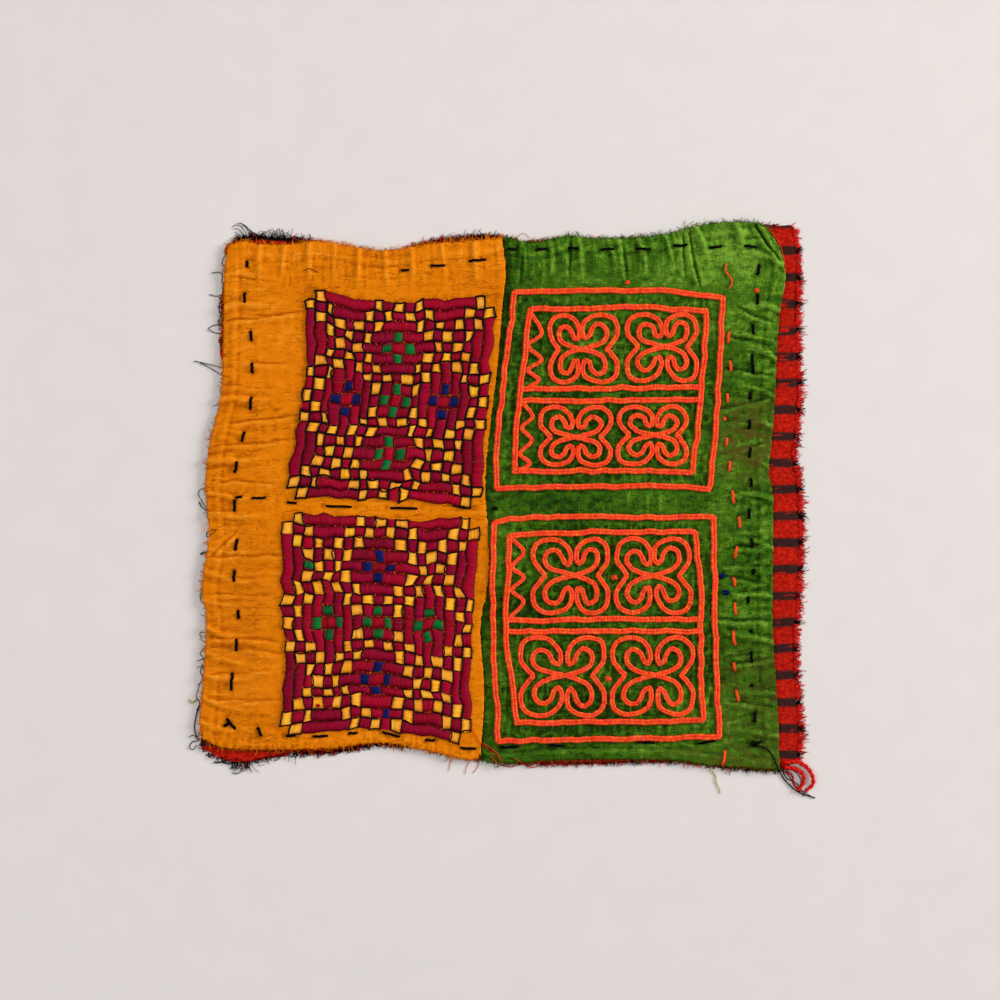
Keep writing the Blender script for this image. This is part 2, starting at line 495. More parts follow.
class Line:
    """A smooth line through rows of x and y, measured by its length."""

    # Points of a smooth line for each of its rows.
    SAMPLES = 14

    def __init__(self, rows, sharp=False):
        points = np.array(rows, dtype=float)
        if sharp or len(points) == 2:
            self.points = points
        else:
            self.points = self._smooth(points)
        steps = np.linalg.norm(np.diff(self.points, axis=0), axis=1)
        self.marks = np.concatenate([[0], np.cumsum(steps)])
        self.length = self.marks[-1]

    def _smooth(self, points):
        """Points of a centripetal spline through the rows."""
        first = 2 * points[0] - points[1]
        last = 2 * points[-1] - points[-2]
        ring = np.vstack([first, points, last])
        out = []
        for i in range(len(points) - 1):
            a, b, c, d = ring[i : i + 4]
            gaps = [max(1e-9, np.linalg.norm(q - p)) ** 0.5 for p, q in ((a, b), (b, c), (c, d))]
            t0, t1 = 0.0, gaps[0]
            t2, t3 = t1 + gaps[1], t1 + gaps[1] + gaps[2]
            t = np.linspace(t1, t2, self.SAMPLES, endpoint=False)[:, None]
            ab = (t1 - t) / (t1 - t0) * a + (t - t0) / (t1 - t0) * b
            bc = (t2 - t) / (t2 - t1) * b + (t - t1) / (t2 - t1) * c
            cd = (t3 - t) / (t3 - t2) * c + (t - t2) / (t3 - t2) * d
            left = (t2 - t) / (t2 - t0) * ab + (t - t0) / (t2 - t0) * bc
            right = (t3 - t) / (t3 - t1) * bc + (t - t1) / (t3 - t1) * cd
            out.append((t2 - t) / (t2 - t1) * left + (t - t1) / (t2 - t1) * right)
        return np.vstack(out + [points[-1:]])

    def at(self, share):
        """Places at shares of the length."""
        mark = np.asarray(share) * self.length
        return np.stack(
            [np.interp(mark, self.marks, self.points[:, axis]) for axis in (0, 1)], axis=-1
        )

    def direction(self, share):
        """Unit vectors along the line at shares of the length."""
        span = 0.15 / self.length
        share = np.asarray(share, dtype=float)
        step = self.at(np.minimum(share + span, 1)) - self.at(np.maximum(share - span, 0))
        return step / np.linalg.norm(step, axis=-1, keepdims=True)


class Patch:
    """The area inside four edges. s runs from left to right and t from bottom to top."""

    def __init__(self, edges):
        self.edge = {side: Line(rows) for side, rows in edges.items()}

    def at(self, s, t):
        """Places inside the patch, or on its edges at 0 and 1."""
        s, t = np.broadcast_arrays(np.asarray(s, dtype=float), np.asarray(t, dtype=float))
        bottom, top = self.edge["bottom"], self.edge["top"]
        left, right = self.edge["left"], self.edge["right"]
        s1, t1 = s[..., None], t[..., None]
        return (
            bottom.at(s) * (1 - t1)
            + top.at(s) * t1
            + left.at(t) * (1 - s1)
            + right.at(t) * s1
            - bottom.at(0.0) * (1 - s1) * (1 - t1)
            - bottom.at(1.0) * s1 * (1 - t1)
            - top.at(0.0) * (1 - s1) * t1
            - top.at(1.0) * s1 * t1
        )


def smooth_noise(x, y, seed):
    """Seeded noise between 0 and 1 over the plane, with a period of about one unit."""
    size = 256
    table = np.random.default_rng(seed).random((size, size))
    column, row = np.floor(x).astype(int), np.floor(y).astype(int)
    fx, fy = x - column, y - row
    fx, fy = fx * fx * (3 - 2 * fx), fy * fy * (3 - 2 * fy)

    def pick(i, j):
        return table[(row + j) % size, (column + i) % size]

    low = pick(0, 0) * (1 - fx) + pick(1, 0) * fx
    high = pick(0, 1) * (1 - fx) + pick(1, 1) * fx
    return low * (1 - fy) + high * fy


def ridges(x, y, seed):
    """Noise with sharp crests, as creased cloth has."""
    return (1 - np.abs(2 * smooth_noise(x, y, seed) - 1)) ** 2.5


def raster_cells(x, y, cell=1.0):
    """Rows and columns of places in a raster whose cells have that size in mm."""
    return ((y + RASTER_REACH) / cell).astype(int), ((x + RASTER_REACH) / cell).astype(int)


def lines_near(lines, blur):
    """A function of x and y that is 1 on the given lines and fades out beside them."""
    cell = 0.5
    size = int(2 * RASTER_REACH / cell)
    grid = np.zeros((size, size))
    for line in lines:
        place = line.at(np.linspace(0, 1, int(line.length / 0.4) + 2))
        grid[raster_cells(place[:, 0], place[:, 1], cell)] = 1.0
    for _ in range(blur):
        grid = (np.roll(grid, 1, 0) + grid + np.roll(grid, -1, 0)) / 3
        grid = (np.roll(grid, 1, 1) + grid + np.roll(grid, -1, 1)) / 3
    grid = np.clip(grid / np.percentile(grid[grid > 0.02], 70), 0, 1)

    def near(x, y):
        row, column = raster_cells(x, y, cell)
        return grid[np.clip(row, 0, size - 1), np.clip(column, 0, size - 1)]

    return near


def lifted(place, z):
    """Points x, y with their heights added."""
    return np.concatenate([place, z[..., None]], axis=-1)


def ramp(value, low, high):
    """0 up to low, 1 from high on and smooth between."""
    share = np.clip((value - low) / (high - low), 0, 1)
    return share * share * (3 - 2 * share)


def bell(offset, half):
    """1 at no offset, falling off on both sides by its half width."""
    return np.exp(-((offset / half) ** 2))


# Shader graphs


class Value:
    """An output socket that takes part in sums as a number does."""

    def __init__(self, graph, socket):
        self.graph = graph
        self.socket = socket

    def _math(self, operation, *operands):
        return self.graph.math(operation, *operands)

    def __add__(self, other):
        return self._math("ADD", self, other)

    __radd__ = __add__

    def __sub__(self, other):
        return self._math("SUBTRACT", self, other)

    def __rsub__(self, other):
        return self._math("SUBTRACT", other, self)

    def __mul__(self, other):
        return self._math("MULTIPLY", self, other)

    __rmul__ = __mul__

    def __truediv__(self, other):
        return self._math("DIVIDE", self, other)


class Graph:
    """The node tree of one new material."""

    def __init__(self, name):
        self.material = bpy.data.materials.new(name)
        self.material.use_nodes = True
        self.tree = self.material.node_tree
        self.tree.nodes.clear()

    def node(self, kind, settings=None, values=None):
        """A node with its settings, and with its inputs set to numbers or linked to outputs."""
        made = self.tree.nodes.new(kind)
        for key, setting in (settings or {}).items():
            setattr(made, key, setting)
        for key, value in (values or {}).items():
            if isinstance(value, Value):
                self.tree.links.new(value.socket, made.inputs[key])
            else:
                made.inputs[key].default_value = value
        return made

    def out(self, made, key=0):
        """An output of a node."""
        return Value(self, made.outputs[key])

    def math(self, operation, *operands, clamp=False):
        """The result of one sum of numbers and outputs."""
        settings = {"operation": operation, "use_clamp": clamp}
        return self.out(self.node("ShaderNodeMath", settings, dict(enumerate(operands))))

    def sine(self, value):
        """The sine of an angle in radians."""
        return self.math("SINE", value)

    def clamp(self, value):
        """The value, kept between 0 and 1."""
        return self.math("ADD", value, 0.0, clamp=True)

    def between(self, value, low, high):
        """0 below low, 1 above high and smooth between."""
        values = {"Value": value, "From Min": low, "From Max": high}
        settings = {"interpolation_type": "SMOOTHSTEP"}
        return self.out(self.node("ShaderNodeMapRange", settings, values))

    def place(self):
        """The object's own x, y and z in mm."""
        texture = self.node("ShaderNodeTexCoord")
        scaled = self.node(
            "ShaderNodeVectorMath",
            {"operation": "SCALE"},
            {0: self.out(texture, "Object"), "Scale": 1 / MM},
        )
        split = self.node("ShaderNodeSeparateXYZ", values={0: self.out(scaled)})
        return [self.out(split, key) for key in ("X", "Y", "Z")]

    def noise(self, x, y, z=0.0, detail=2.0):
        """Noise about 0.5, with a period of about one unit."""
        vector = self.out(self.node("ShaderNodeCombineXYZ", values={"X": x, "Y": y, "Z": z}))
        values = {"Vector": vector, "Scale": 1.0, "Detail": detail, "Roughness": 0.6}
        return self.out(self.node("ShaderNodeTexNoise", values=values))

    def crease(self, x, y, z, width):
        """Thin wandering lines: 1 on the line and 0 beside it."""
        off = self.math("ABSOLUTE", self.noise(x, y, z, 3.0) - 0.5)
        return 1 - self.between(off, 0.0, width)

    def attribute(self, name, key="Fac"):
        """A value that the points of the mesh hold."""
        return self.out(self.node("ShaderNodeAttribute", {"attribute_name": name}), key)

    def mix(self, factor, first, second):
        """Two colours, mixed by a factor between 0 and 1."""
        first, second = (
            colour if isinstance(colour, Value) else (*colour, 1) for colour in (first, second)
        )
        made = self.node("ShaderNodeMix", {"data_type": "RGBA"}, {0: factor, 6: first, 7: second})
        return self.out(made, 2)

    def bright(self, colour, amount):
        """A colour multiplied by a number."""
        settings = {"operation": "SCALE"}
        values = {0: colour, "Scale": amount}
        return self.out(self.node("ShaderNodeVectorMath", settings, values))

    def surface(self, colour, roughness, height, distance, strength, specular, sheen=0.0):
        """The finished material, with its relief as a bump of some distance in metres."""
        bump = self.node(
            "ShaderNodeBump", values={"Height": height, "Distance": distance, "Strength": strength}
        )
        values = {
            "Base Color": colour,
            "Roughness": roughness,
            "Normal": self.out(bump),
            "Sheen Weight": sheen,
            "Sheen Roughness": 0.5,
            "Specular IOR Level": specular,
        }
        shader = self.node("ShaderNodeBsdfPrincipled", values=values)
        self.node("ShaderNodeOutputMaterial", values={"Surface": self.out(shader)})
        return self.material


def weave_height(graph, x, y, pitch):
    """Threads of a plain weave that pass over and under each other, with uneven thickness."""
    turn = 2 * math.pi / pitch
    sway_x = graph.noise(x * 0.05, y * 0.6) * 1.2
    sway_y = graph.noise(x * 0.6, y * 0.05, 4.0) * 1.2
    across = graph.sine((x + sway_x) * turn)
    upward = graph.sine((y + sway_y) * turn)
    slub_across = graph.noise(x * 0.16, y * 2.4, 2.0, 3.0)
    slub_upward = graph.noise(x * 2.4, y * 0.16, 3.0, 3.0)
    return across * upward * 0.35 + slub_across * 1.1 + slub_upward * 1.1


def cotton(name, dark, middle, light, stain, other, pitch, hues, spots, contrast, grain):
    """Plain-woven cotton with slubs, thin creases and stains.

    hues, spots, contrast and grain are the strengths of the second hue, of dark spots, of large
    changes of tone and of the threads.
    """
    graph = Graph(name)
    x, y, _ = graph.place()
    level = graph.noise(x * 0.25, y * 3.4, 1.0, 4.0)
    upright = graph.noise(x * 3.4, y * 0.25, 2.0, 4.0)
    blotch = graph.noise(x * 0.05, y * 0.05, 5.0, 5.0)
    speck = graph.noise(x * 1.7, y * 1.7, 7.0, 3.0)
    patches = graph.noise(x * 0.2, y * 0.3, 12.0, 3.0)
    shade = graph.attribute("shade")
    creases = graph.crease(x * 0.05, y * 0.22, 6.0, 0.014) * graph.between(blotch, 0.4, 0.55)
    wrinkles = graph.crease(x * 0.3, y * 0.42, 8.0, 0.03)
    tone = (
        (level - 0.5) * grain
        + (upright - 0.5) * grain
        + (blotch - 0.5) * contrast
        + (patches - 0.5) * contrast * 0.8
        + (speck - 0.5) * grain * 0.6
        - creases * 0.3
        - wrinkles * 0.1
        + shade
    )
    colour = graph.mix(graph.between(tone, 0.05, 0.5), dark, middle)
    colour = graph.mix(graph.between(tone, 0.5, 1.0), colour, light)
    hue = graph.between(graph.noise(x * 0.34, y * 0.4, 14.0, 4.0), 0.46, 0.66)
    colour = graph.mix(hue * hues, colour, other)
    worn = graph.attribute("stain")
    worn = worn * graph.between(graph.noise(x * 0.16, y * 0.22, 9.0, 5.0), 0.36, 0.56)
    colour = graph.mix(graph.clamp(worn), colour, stain)
    marks = graph.between(graph.noise(x * 0.5, y * 0.5, 11.0, 2.0), 0.68, 0.74)
    colour = graph.mix(marks * spots, colour, dark)
    roughness = 0.82 + (speck - 0.5) * 0.2
    height = weave_height(graph, x, y, pitch) * grain - creases * 1.6 - wrinkles * 0.5
    return graph.surface(
        colour, roughness, height, distance=0.0002, strength=0.8, specular=0.04
    )


def striped(name, red, faded, dark, stripe_pitch, stripe_width, pitch):
    """Woven cotton with level dark stripes."""
    graph = Graph(name)
    x, y, _ = graph.place()
    sway = (graph.noise(x * 0.05, y * 0.03, 1.0) - 0.5) * 3.0
    sway = sway + (1 - graph.between(x, -110.0, -50.0)) * 6.0
    fray = (graph.noise(x * 2.0, y * 0.5, 2.0, 3.0) - 0.5) * 1.8
    turn = (y + CENTRE[1] - FIRST_STRIPE + sway + fray) / stripe_pitch
    # The whole turns added here keep it above 0.
    share = graph.math("FRACT", turn + 100.5) - 0.5
    near = graph.math("ABSOLUTE", share) * stripe_pitch
    stripe = 1 - graph.between(near, stripe_width * 0.34, stripe_width * 0.6)
    ended = graph.between(graph.noise(x * 0.06, y * 0.3, 6.0, 2.0), 0.34, 0.42)
    slub = graph.noise(x * 0.3, y * 2.8, 3.0, 4.0) * 0.6
    slub = slub + graph.noise(x * 2.8, y * 0.4, 4.0, 4.0) * 0.4
    mottle = graph.noise(x * 0.5, y * 0.6, 5.0, 4.0)
    cloth = graph.mix(graph.between(slub + (mottle - 0.5), 0.3, 0.7), red, faded)
    colour = graph.mix(graph.clamp(stripe * ended * 0.95), cloth, dark)
    colour = graph.bright(colour, 0.45 + mottle * 0.75 + graph.attribute("shade") * 0.5)
    height = weave_height(graph, x, y, pitch) + mottle * 1.5
    roughness = 0.85 + (slub - 0.5) * 0.2
    return graph.surface(
        colour, roughness, height, distance=0.0003, strength=0.9, specular=0.04
    )


def thread_material(name, roughness, specular, twist_depth):
    """Thread whose colour is held by each strand and whose plies turn round it."""
    graph = Graph(name)
    x, y, z = graph.place()
    tint = graph.attribute("tint", "Color")
    wear = graph.noise(x * 0.9, y * 0.9, z * 0.9, 3.0)
    colour = graph.bright(tint, 0.72 + wear * 0.6)
    plies = graph.sine(graph.attribute("twist") * (2 * math.pi))
    fibres = graph.noise(x * 5, y * 5, z * 5, 2.0)
    height = plies * twist_depth + fibres * 0.4
    roughness = roughness + (wear - 0.5) * 0.2
    return graph.surface(
        colour, roughness, height, distance=0.00012, strength=0.6, specular=specular
    )


# Meshes


def put_mesh(name, vertices, faces, attributes, material, node=None):
    """A new object from points in mm in the tables' frame."""
    points = np.array(vertices, dtype=float)
    points[:, 0] -= CENTRE[0]
    points[:, 1] -= CENTRE[1]
    # Nothing may reach below the surface that the panel lies on.
    points[:, 2] = np.maximum(points[:, 2], 0.02)
    mesh = bpy.data.meshes.new(name)
    mesh.from_pydata((points * MM).tolist(), [], faces.tolist())
    for key, values in attributes.items():
        values = np.asarray(values, dtype=np.float32)
        if values.ndim == 2:
            rgba = np.ones((len(values), 4), dtype=np.float32)
            rgba[:, :3] = values
            layer = mesh.attributes.new(key, "FLOAT_COLOR", "POINT")
            layer.data.foreach_set("color", rgba.ravel())
        else:
            layer = mesh.attributes.new(key, "FLOAT", "POINT")
            layer.data.foreach_set("value", values)
    mesh.validate()
    mesh.shade_smooth()
    mesh.materials.append(material)
    made = bpy.data.objects.new(name, mesh)
    bpy.context.scene.collection.objects.link(made)
    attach(made, "root")
    if node:
        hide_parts(node)
    return made


class Strands:
    """Collects bundles of equal tubes and makes one object of them."""

    def __init__(self):
        self.vertices, self.faces, self.tints, self.twists = [], [], [], []
        self.count = 0

    def add(self, paths, radius, tints, sides=5, flat=1.0, ply=1.3, half=False):
        """Tubes along paths, an array of strands by points by x, y, z. Each has its own tint."""
        paths = np.asarray(paths, dtype=float)
        strands, points, _ = paths.shape
        radius = np.broadcast_to(np.asarray(radius, dtype=float), (strands, points))
        along = np.gradient(paths, axis=1)
        along /= np.maximum(np.linalg.norm(along, axis=2, keepdims=True), 1e-9)
        side = np.cross(along, np.array([0.0, 0.0, 1.0]))
        size = np.linalg.norm(side, axis=2, keepdims=True)
        side = np.where(size > 0.05, side / np.maximum(size, 1e-9), np.array([1.0, 0.0, 0.0]))
        up = np.cross(side, along)
        if half:
            angles = np.linspace(0, math.pi, sides)
        else:
            angles = np.arange(sides) * 2 * math.pi / sides + math.pi / 2
        ring = (
            np.cos(angles)[None, None, :, None] * side[:, :, None, :]
            + np.sin(angles)[None, None, :, None] * up[:, :, None, :] * flat
        )
        vertices = paths[:, :, None, :] + radius[:, :, None, None] * ring
        steps = np.linalg.norm(np.diff(paths, axis=1), axis=2)
        marks = np.concatenate([np.zeros((strands, 1)), np.cumsum(steps, axis=1)], axis=1)
        twist = marks[:, :, None] / ply + angles[None, None, :] / (2 * math.pi)
        index = np.arange(strands * points * sides).reshape(strands, points, sides) + self.count
        wide = sides - 1 if half else sides
        turned = (np.arange(wide) + 1) % sides
        near, far = index[:, :-1], index[:, 1:]
        quads = [near[..., :wide], near[..., turned], far[..., turned], far[..., :wide]]
        quads = np.stack(quads, axis=-1)
        self.faces.append(quads.reshape(-1, 4))
        self.vertices.append(vertices.reshape(-1, 3))
        tints = np.asarray(tints, dtype=float)
        if tints.ndim < 3:
            tints = np.broadcast_to(tints, (strands, 3))[:, None]
        tints = np.broadcast_to(tints[:, :, None], (strands, points, sides, 3))
        self.tints.append(tints.reshape(-1, 3))
        self.twists.append(twist.reshape(-1))
        self.count += strands * points * sides

    def build(self, name, material, node=None, slot=None):
        """The object, with the tint and the twist of its strands."""
        attributes = {"tint": np.vstack(self.tints), "twist": np.concatenate(self.twists)}
        return put_mesh(
            name, np.vstack(self.vertices), np.vstack(self.faces), attributes, material, node
        )


def folds_height(folds, along_line, across, share, reach):
    """Rise of folds that start at an edge and fade out over their reach, all in mm."""
    length = along_line.length
    height = np.zeros_like(share)
    fade = 1 - ramp(across, 0.25 * reach, reach)
    for place, half, rise, slant in folds:
        offset = (share - place) * length - slant * across / reach
        height += rise * bell(offset, half) * fade
    return height


def sheet_mesh(
    name, edges, pitch, level, height, shade, stain, material, node, ragged, thickness
):
    """A cloth: a fine grid over four edges, whose rim turns down by its thickness.

    height, shade and stain are functions of s, t, x and y, and ragged is the unevenness of the
    rim in mm.
    """
    patch = Patch(edges)
    wide = int(patch.edge["bottom"].length / pitch) + 1
    high = int(patch.edge["left"].length / pitch) + 1
    s, t = np.meshgrid(np.linspace(0, 1, wide), np.linspace(0, 1, high))
    place = patch.at(s, t)
    x, y = place[..., 0], place[..., 1]
    z = level + height(s, t, x, y)
    blurred = z.copy()
    for _ in range(5):
        padded = np.pad(blurred, 1, mode="edge")
        blurred = (
            padded[:-2, 1:-1] + padded[2:, 1:-1] + padded[1:-1, :-2] + padded[1:-1, 2:]
        ) / 4
    relief = np.clip((z - blurred) * 1.3, -0.4, 0.3)
    shade = np.clip(0.5 + relief + shade(s, t, x, y), 0, 1)
    stain = stain(s, t, x, y)
    vertices = np.stack([x, y, z], axis=-1).reshape(-1, 3)
    index = np.arange(wide * high).reshape(high, wide)
    quads = np.stack([index[:-1, :-1], index[:-1, 1:], index[1:, 1:], index[1:, :-1]], axis=-1)
    rim = np.concatenate(
        [index[0, :-1], index[:-1, -1], index[-1, :0:-1], index[:0:-1, 0]]
    )
    centre = vertices.mean(axis=0)
    loops = [rim]
    points = [vertices]
    count = len(vertices)
    outward = vertices[rim] - centre
    outward[:, 2] = 0
    outward /= np.linalg.norm(outward, axis=1, keepdims=True)
    random = np.random.default_rng(len(rim))
    vertices[rim] += outward * random.normal(0, ragged, (len(rim), 1))
    # Columns: distance outward in mm, share of the thickness downward.
    for out, down in ((0.28, 0.3), (0.25, 0.75), (0.0, 1.0)):
        ring = vertices[rim] + outward * out
        ring[:, 2] -= thickness * down
        points.append(ring)
        loops.append(np.arange(count, count + len(rim)))
        count += len(rim)
    faces = [quads.reshape(-1, 4)]
    for upper, lower in zip(loops, loops[1:]):
        faces.append(np.stack([upper, lower, np.roll(lower, -1), np.roll(upper, -1)], axis=-1))
    rims = len(loops) - 1
    attributes = {
        "shade": np.concatenate([shade.ravel(), np.tile(shade.ravel()[rim] - 0.1, rims)]),
        "stain": np.concatenate([stain.ravel(), np.tile(stain.ravel()[rim], rims)]),
    }
    return put_mesh(
        name, np.vstack(points), np.vstack(faces), attributes, material, node
    )


def pitted(x, y, places, reach, depth):
    """Dips in the cloth where stitches go through it."""
    dip = np.zeros_like(x)
    for px, py in places:
        near = (np.abs(x - px) < 3 * reach) & (np.abs(y - py) < 3 * reach)
        distance = (x[near] - px) ** 2 + (y[near] - py) ** 2
        dip[near] += depth * np.exp(-distance / reach**2)
    return dip


def stitch_ends(table, upright):
    """Both ends of each running stitch of a table."""
    ends = []
    for x, y, length, turn in table:
        angle = math.radians((-90 if upright else 0) + turn)
        ends += [(x, y), (x + length * math.cos(angle), y + length * math.sin(angle))]
    return ends


def crease_rows(x, y, table, seed):
    """For each crease of a table: its depth, the distance to its line in mm, and its strength."""
    wander = 1.6 * (smooth_noise(x / 7, y / 7, seed) - 0.5)
    for x0, y0, x1, y1, depth in table:
        length = math.hypot(x1 - x0, y1 - y0)
        share = np.clip(((x - x0) * (x1 - x0) + (y - y0) * (y1 - y0)) / length**2, -0.2, 1.2)
        off = ((x - x0) * (y1 - y0) - (y - y0) * (x1 - x0)) / length + wander
        yield depth, off, ramp(share, -0.05, 0.15) * (1 - ramp(share, 0.7, 1.1))


def creased(x, y, table, seed):
    """Grooves with a soft swelling on one side, along the lines of a table."""
    height = np.zeros_like(x)
    for depth, off, fade in crease_rows(x, y, table, seed):
        height += depth * fade * (0.6 * bell(off - 1.5, 1.3) - 0.9 * bell(off, 0.6))
    return height


def crease_shade(x, y, table, seed):
    """Darkness in the grooves of the same creases."""
    shade = np.zeros_like(x)
    for depth, off, fade in crease_rows(x, y, table, seed):
        shade = np.minimum(shade, -0.45 * depth * fade * bell(off, 0.55))
    return shade


def quilting(x, y):
    """Distance in mm to the nearest upright crease above the check blocks."""
    pitch = 5.4
    turn = (x + 2 * smooth_noise(x / 16, y / 12, 5)) / pitch
    return (turn - np.floor(turn) - 0.5) * pitch


def quilted(s, from_top):
    """1 in the part of the orange cloth that has those creases."""
    return (1 - ramp(from_top, 18, 24)) * ramp(s, 0.1, 0.3)


def orange_distances(s, t):
    """Rough distances in mm from the left, top and bottom edge of the orange cloth."""
    return s * 139, (1 - t) * 252, t * 240


def green_distances(s, t):
    """Rough distances in mm from the right, top and bottom edge, the last one stretched."""
    return (1 - s) * 143, (1 - t) * 262, t * 262 * 1.4


def orange_height(s, t, x, y):
    """Folds, creases, quilting and hem of the orange cloth in mm above its level."""
    left = Line(ORANGE_EDGES["left"])
    top = Line(ORANGE_EDGES["top"])
    from_left, from_top, from_bottom = orange_distances(s, t)
    height = 0.75 * folds_height(ORANGE_LEFT_FOLDS, left, from_left, t, 36)
    height += folds_height(ORANGE_TOP_FOLDS, top, from_top, s, 24)
    margin = 1 - ramp(from_left, 26, 40)
    bent = y + 3 * smooth_noise(x / 14, y / 20, 2)
    calm = 0.3 + 0.7 * ramp(smooth_noise(x / 30, y / 18, 1), 0.35, 0.7)
    height += ridges(x / 24, bent / 4.2, 3) * 0.6 * margin * calm * ramp(from_left, 0, 5)
    height += ridges(x / 9, bent / 1.9, 4) * 0.2 * margin * calm
    height += ridges(x / 4, y / 1.5, 9) * 0.1 * margin
    height += creased(x, y, ORANGE_CREASES, 51)
    upper = quilted(s, from_top)
    broken = ramp(smooth_noise(x / 3, y / 4, 23), 0.35, 0.6)
    height -= 0.24 * bell(quilting(x, y), 0.4) * upper * broken
    height -= 0.16 * bell(quilting(y, x), 0.4) * upper * (1 - broken)
    height += ridges(x / 2.2, y / 14, 6) * 0.2 * (1 - ramp(from_top, 16, 26))
    height += ridges(x / 6, y / 5, 7) * 0.2
    height += ridges(x / 2.4, y / 8, 8) * 0.4 * (1 - ramp(from_bottom, 3, 12))
    ends = stitch_ends(BLACK_UPRIGHT, True) + stitch_ends(BLACK_LEVEL, False)
    height -= pitted(x, y, ends, 1.5, 0.4)
    edge = np.minimum(from_left, from_top)
    return height + 0.22 * bell(edge - 5.5, 1.6) - 0.2 * bell(edge - 8.2, 0.8)


def orange_shade(s, t, x, y):
    """Lightness of the orange cloth, darker in its grooves and beside the checks."""
    _, from_top, from_bottom = orange_distances(s, t)
    return (
        (smooth_noise(x / 30, y / 22, 21) - 0.5) * 0.24
        - 0.05 * ramp(-x, 100, 150)
        - 0.16 * lines_near(block_edges(), 4)(x, y)
        - 0.06 * bell(quilting(x, y), 0.6) * quilted(s, from_top)
        - 0.12 * (1 - ramp(from_bottom, 0, 4))
        + 0.1 * ramp(s, 0.975, 0.995)
        + 0.5 * crease_shade(x, y, ORANGE_CREASES, 51)
    )


def orange_stain(s, t, x, y):
    """A dull part at the lower left of the orange cloth."""
    return 0.45 * bell(x + 128, 14) * bell(y + 60, 50)


def block_edges():
    """The edges of both check blocks."""
    return [Line(rows) for edges in CHECK_BLOCKS.values() for rows in edges.values()]


def chain_lines():
    """Every frame, rule, zigzag and scroll as it is drawn in the tables."""
    lines = []
    for drawn in FRAMES.values():
        lines.append(Line(drawn["loop"] + drawn["loop"][:1], sharp=True))
        lines += [Line(rows, sharp=True) for rows in drawn["rules"]]
        lines += [Line(rows) for rows in drawn["zigzags"]]
    for row in SCROLLS.values():
        lines += [Line(rows) for rows in scroll_lines(row, np.random.default_rng(0))]
    return lines


def inside_frames(x, y):
    """1 inside the two outer frames on the green cloth."""
    across = ramp(x, -4, 2) * (1 - ramp(x, 103, 108))
    upper = ramp(y, 8, 12) * (1 - ramp(y, 104, 108))
    lower = ramp(y, -117, -113) * (1 - ramp(y, -9, -5))
    return across * np.maximum(upper, lower)


def green_height(s, t, x, y):
    """Folds, creases, pulled cloth and hem of the green cloth in mm above its level."""
    right = Line(GREEN_EDGES["right"])
    top = Line(GREEN_EDGES["top"])
    from_right, from_top, from_bottom = green_distances(s, t)
    height = folds_height(GREEN_RIGHT_FOLDS, right, from_right, t, 27)
    height += folds_height(GREEN_TOP_FOLDS, top, from_top, s, 24)
    margin = 1 - ramp(from_right, 18, 30)
    bent = y + 3 * smooth_noise(x / 14, y / 20, 12)
    calm = 0.3 + 0.7 * ramp(smooth_noise(x / 24, y / 18, 20), 0.3, 0.7)
    height += ridges(x / 20, bent / 3.8, 13) * 0.6 * margin * calm * ramp(from_right, 0, 5)
    height += ridges(x / 9, bent / 1.8, 14) * 0.26 * margin * calm
    height += creased(x, y, GREEN_CREASES, 52)
    height += ridges(x / 1.6, y / 5, 10) * 0.16 * margin
    upper = 1 - ramp(from_top, 14, 26)
    height += ridges(x / 5.4, y / 24, 15) * 0.7 * upper * calm
    height += ridges(x / 2.4, y / 12, 16) * 0.26 * upper
    between = bell(y - 2, 5) * (1 - ramp(x, 100, 110))
    height += ridges(x / 5, y / 20, 17) * 0.8 * between * calm
    rails = inside_frames(x, y)
    height += ridges(x / 2.6, y / 5, 18) * 0.5 * rails
    height += ridges(x / 7, y / 2.2, 11) * 0.2 * rails
    height += ridges(x / 6, y / 5, 19) * 0.22 * (1 - rails)
    ends = stitch_ends(BLACK_UPRIGHT + RED_UPRIGHT, True) + stitch_ends(BLACK_LEVEL, False)
    height -= pitted(x, y, ends, 1.5, 0.4)
    edge = np.minimum(from_right, np.minimum(from_top, from_bottom))
    return height + 0.2 * bell(edge - 5, 1.6) - 0.18 * bell(edge - 7.6, 0.8)


def green_shade(s, t, x, y):
    """Lightness of the green cloth, lighter at its upper right and darker beside the stitches."""
    corner = ramp(x, 40, 125) * ramp(y, 60, 130)
    return (
        0.2 * corner
        + 0.08 * ramp(y, 104, 112)
        - 0.12 * inside_frames(x, y)
        - 0.22 * lines_near(chain_lines(), 4)(x, y)
        - 0.12 * bell(y - 2, 6) * (1 - ramp(x, 100, 110))
        + (smooth_noise(x / 34, y / 26, 31) - 0.5) * 0.3
        - 0.3 * (1 - ramp(s, 0.0, 0.035))
        - 0.08 * (1 - ramp(x, 0, 110))
        + crease_shade(x, y, GREEN_CREASES, 52)
    )


def green_stain(s, t, x, y):
    """Olive marks at the right and the lower right of the green cloth."""
    high = np.exp(-(((x - 122) / 14) ** 4 + ((y - 34) / 20) ** 4))
    low = 0.4 * ramp(x, 106, 114) * (1 - ramp(y, -80, -56))
    last = 0.6 * ramp(x, 60, 110) * (1 - ramp(y, -122, -117))
    return np.maximum(np.maximum(high, low), last)


def backing_height(s, t, x, y):
    """Low waves of the backing in mm, stronger in the strip that shows at its right."""
    strip = ramp(x, 132, 140)
    return (
        (smooth_noise(x / 12, y / 9, 41) - 0.5) * 0.35 * strip
        + ridges(x / 10, y / 4, 42) * 0.3 * strip
        - 0.2
    )


def backing_shade(s, t, x, y):
    """Uneven lightness of the backing."""
    return (smooth_noise(x / 14, y / 11, 43) - 0.5) * 0.3


def no_stain(s, t, x, y):
    """No marks anywhere."""
    return np.zeros_like(x)


# Check pattern


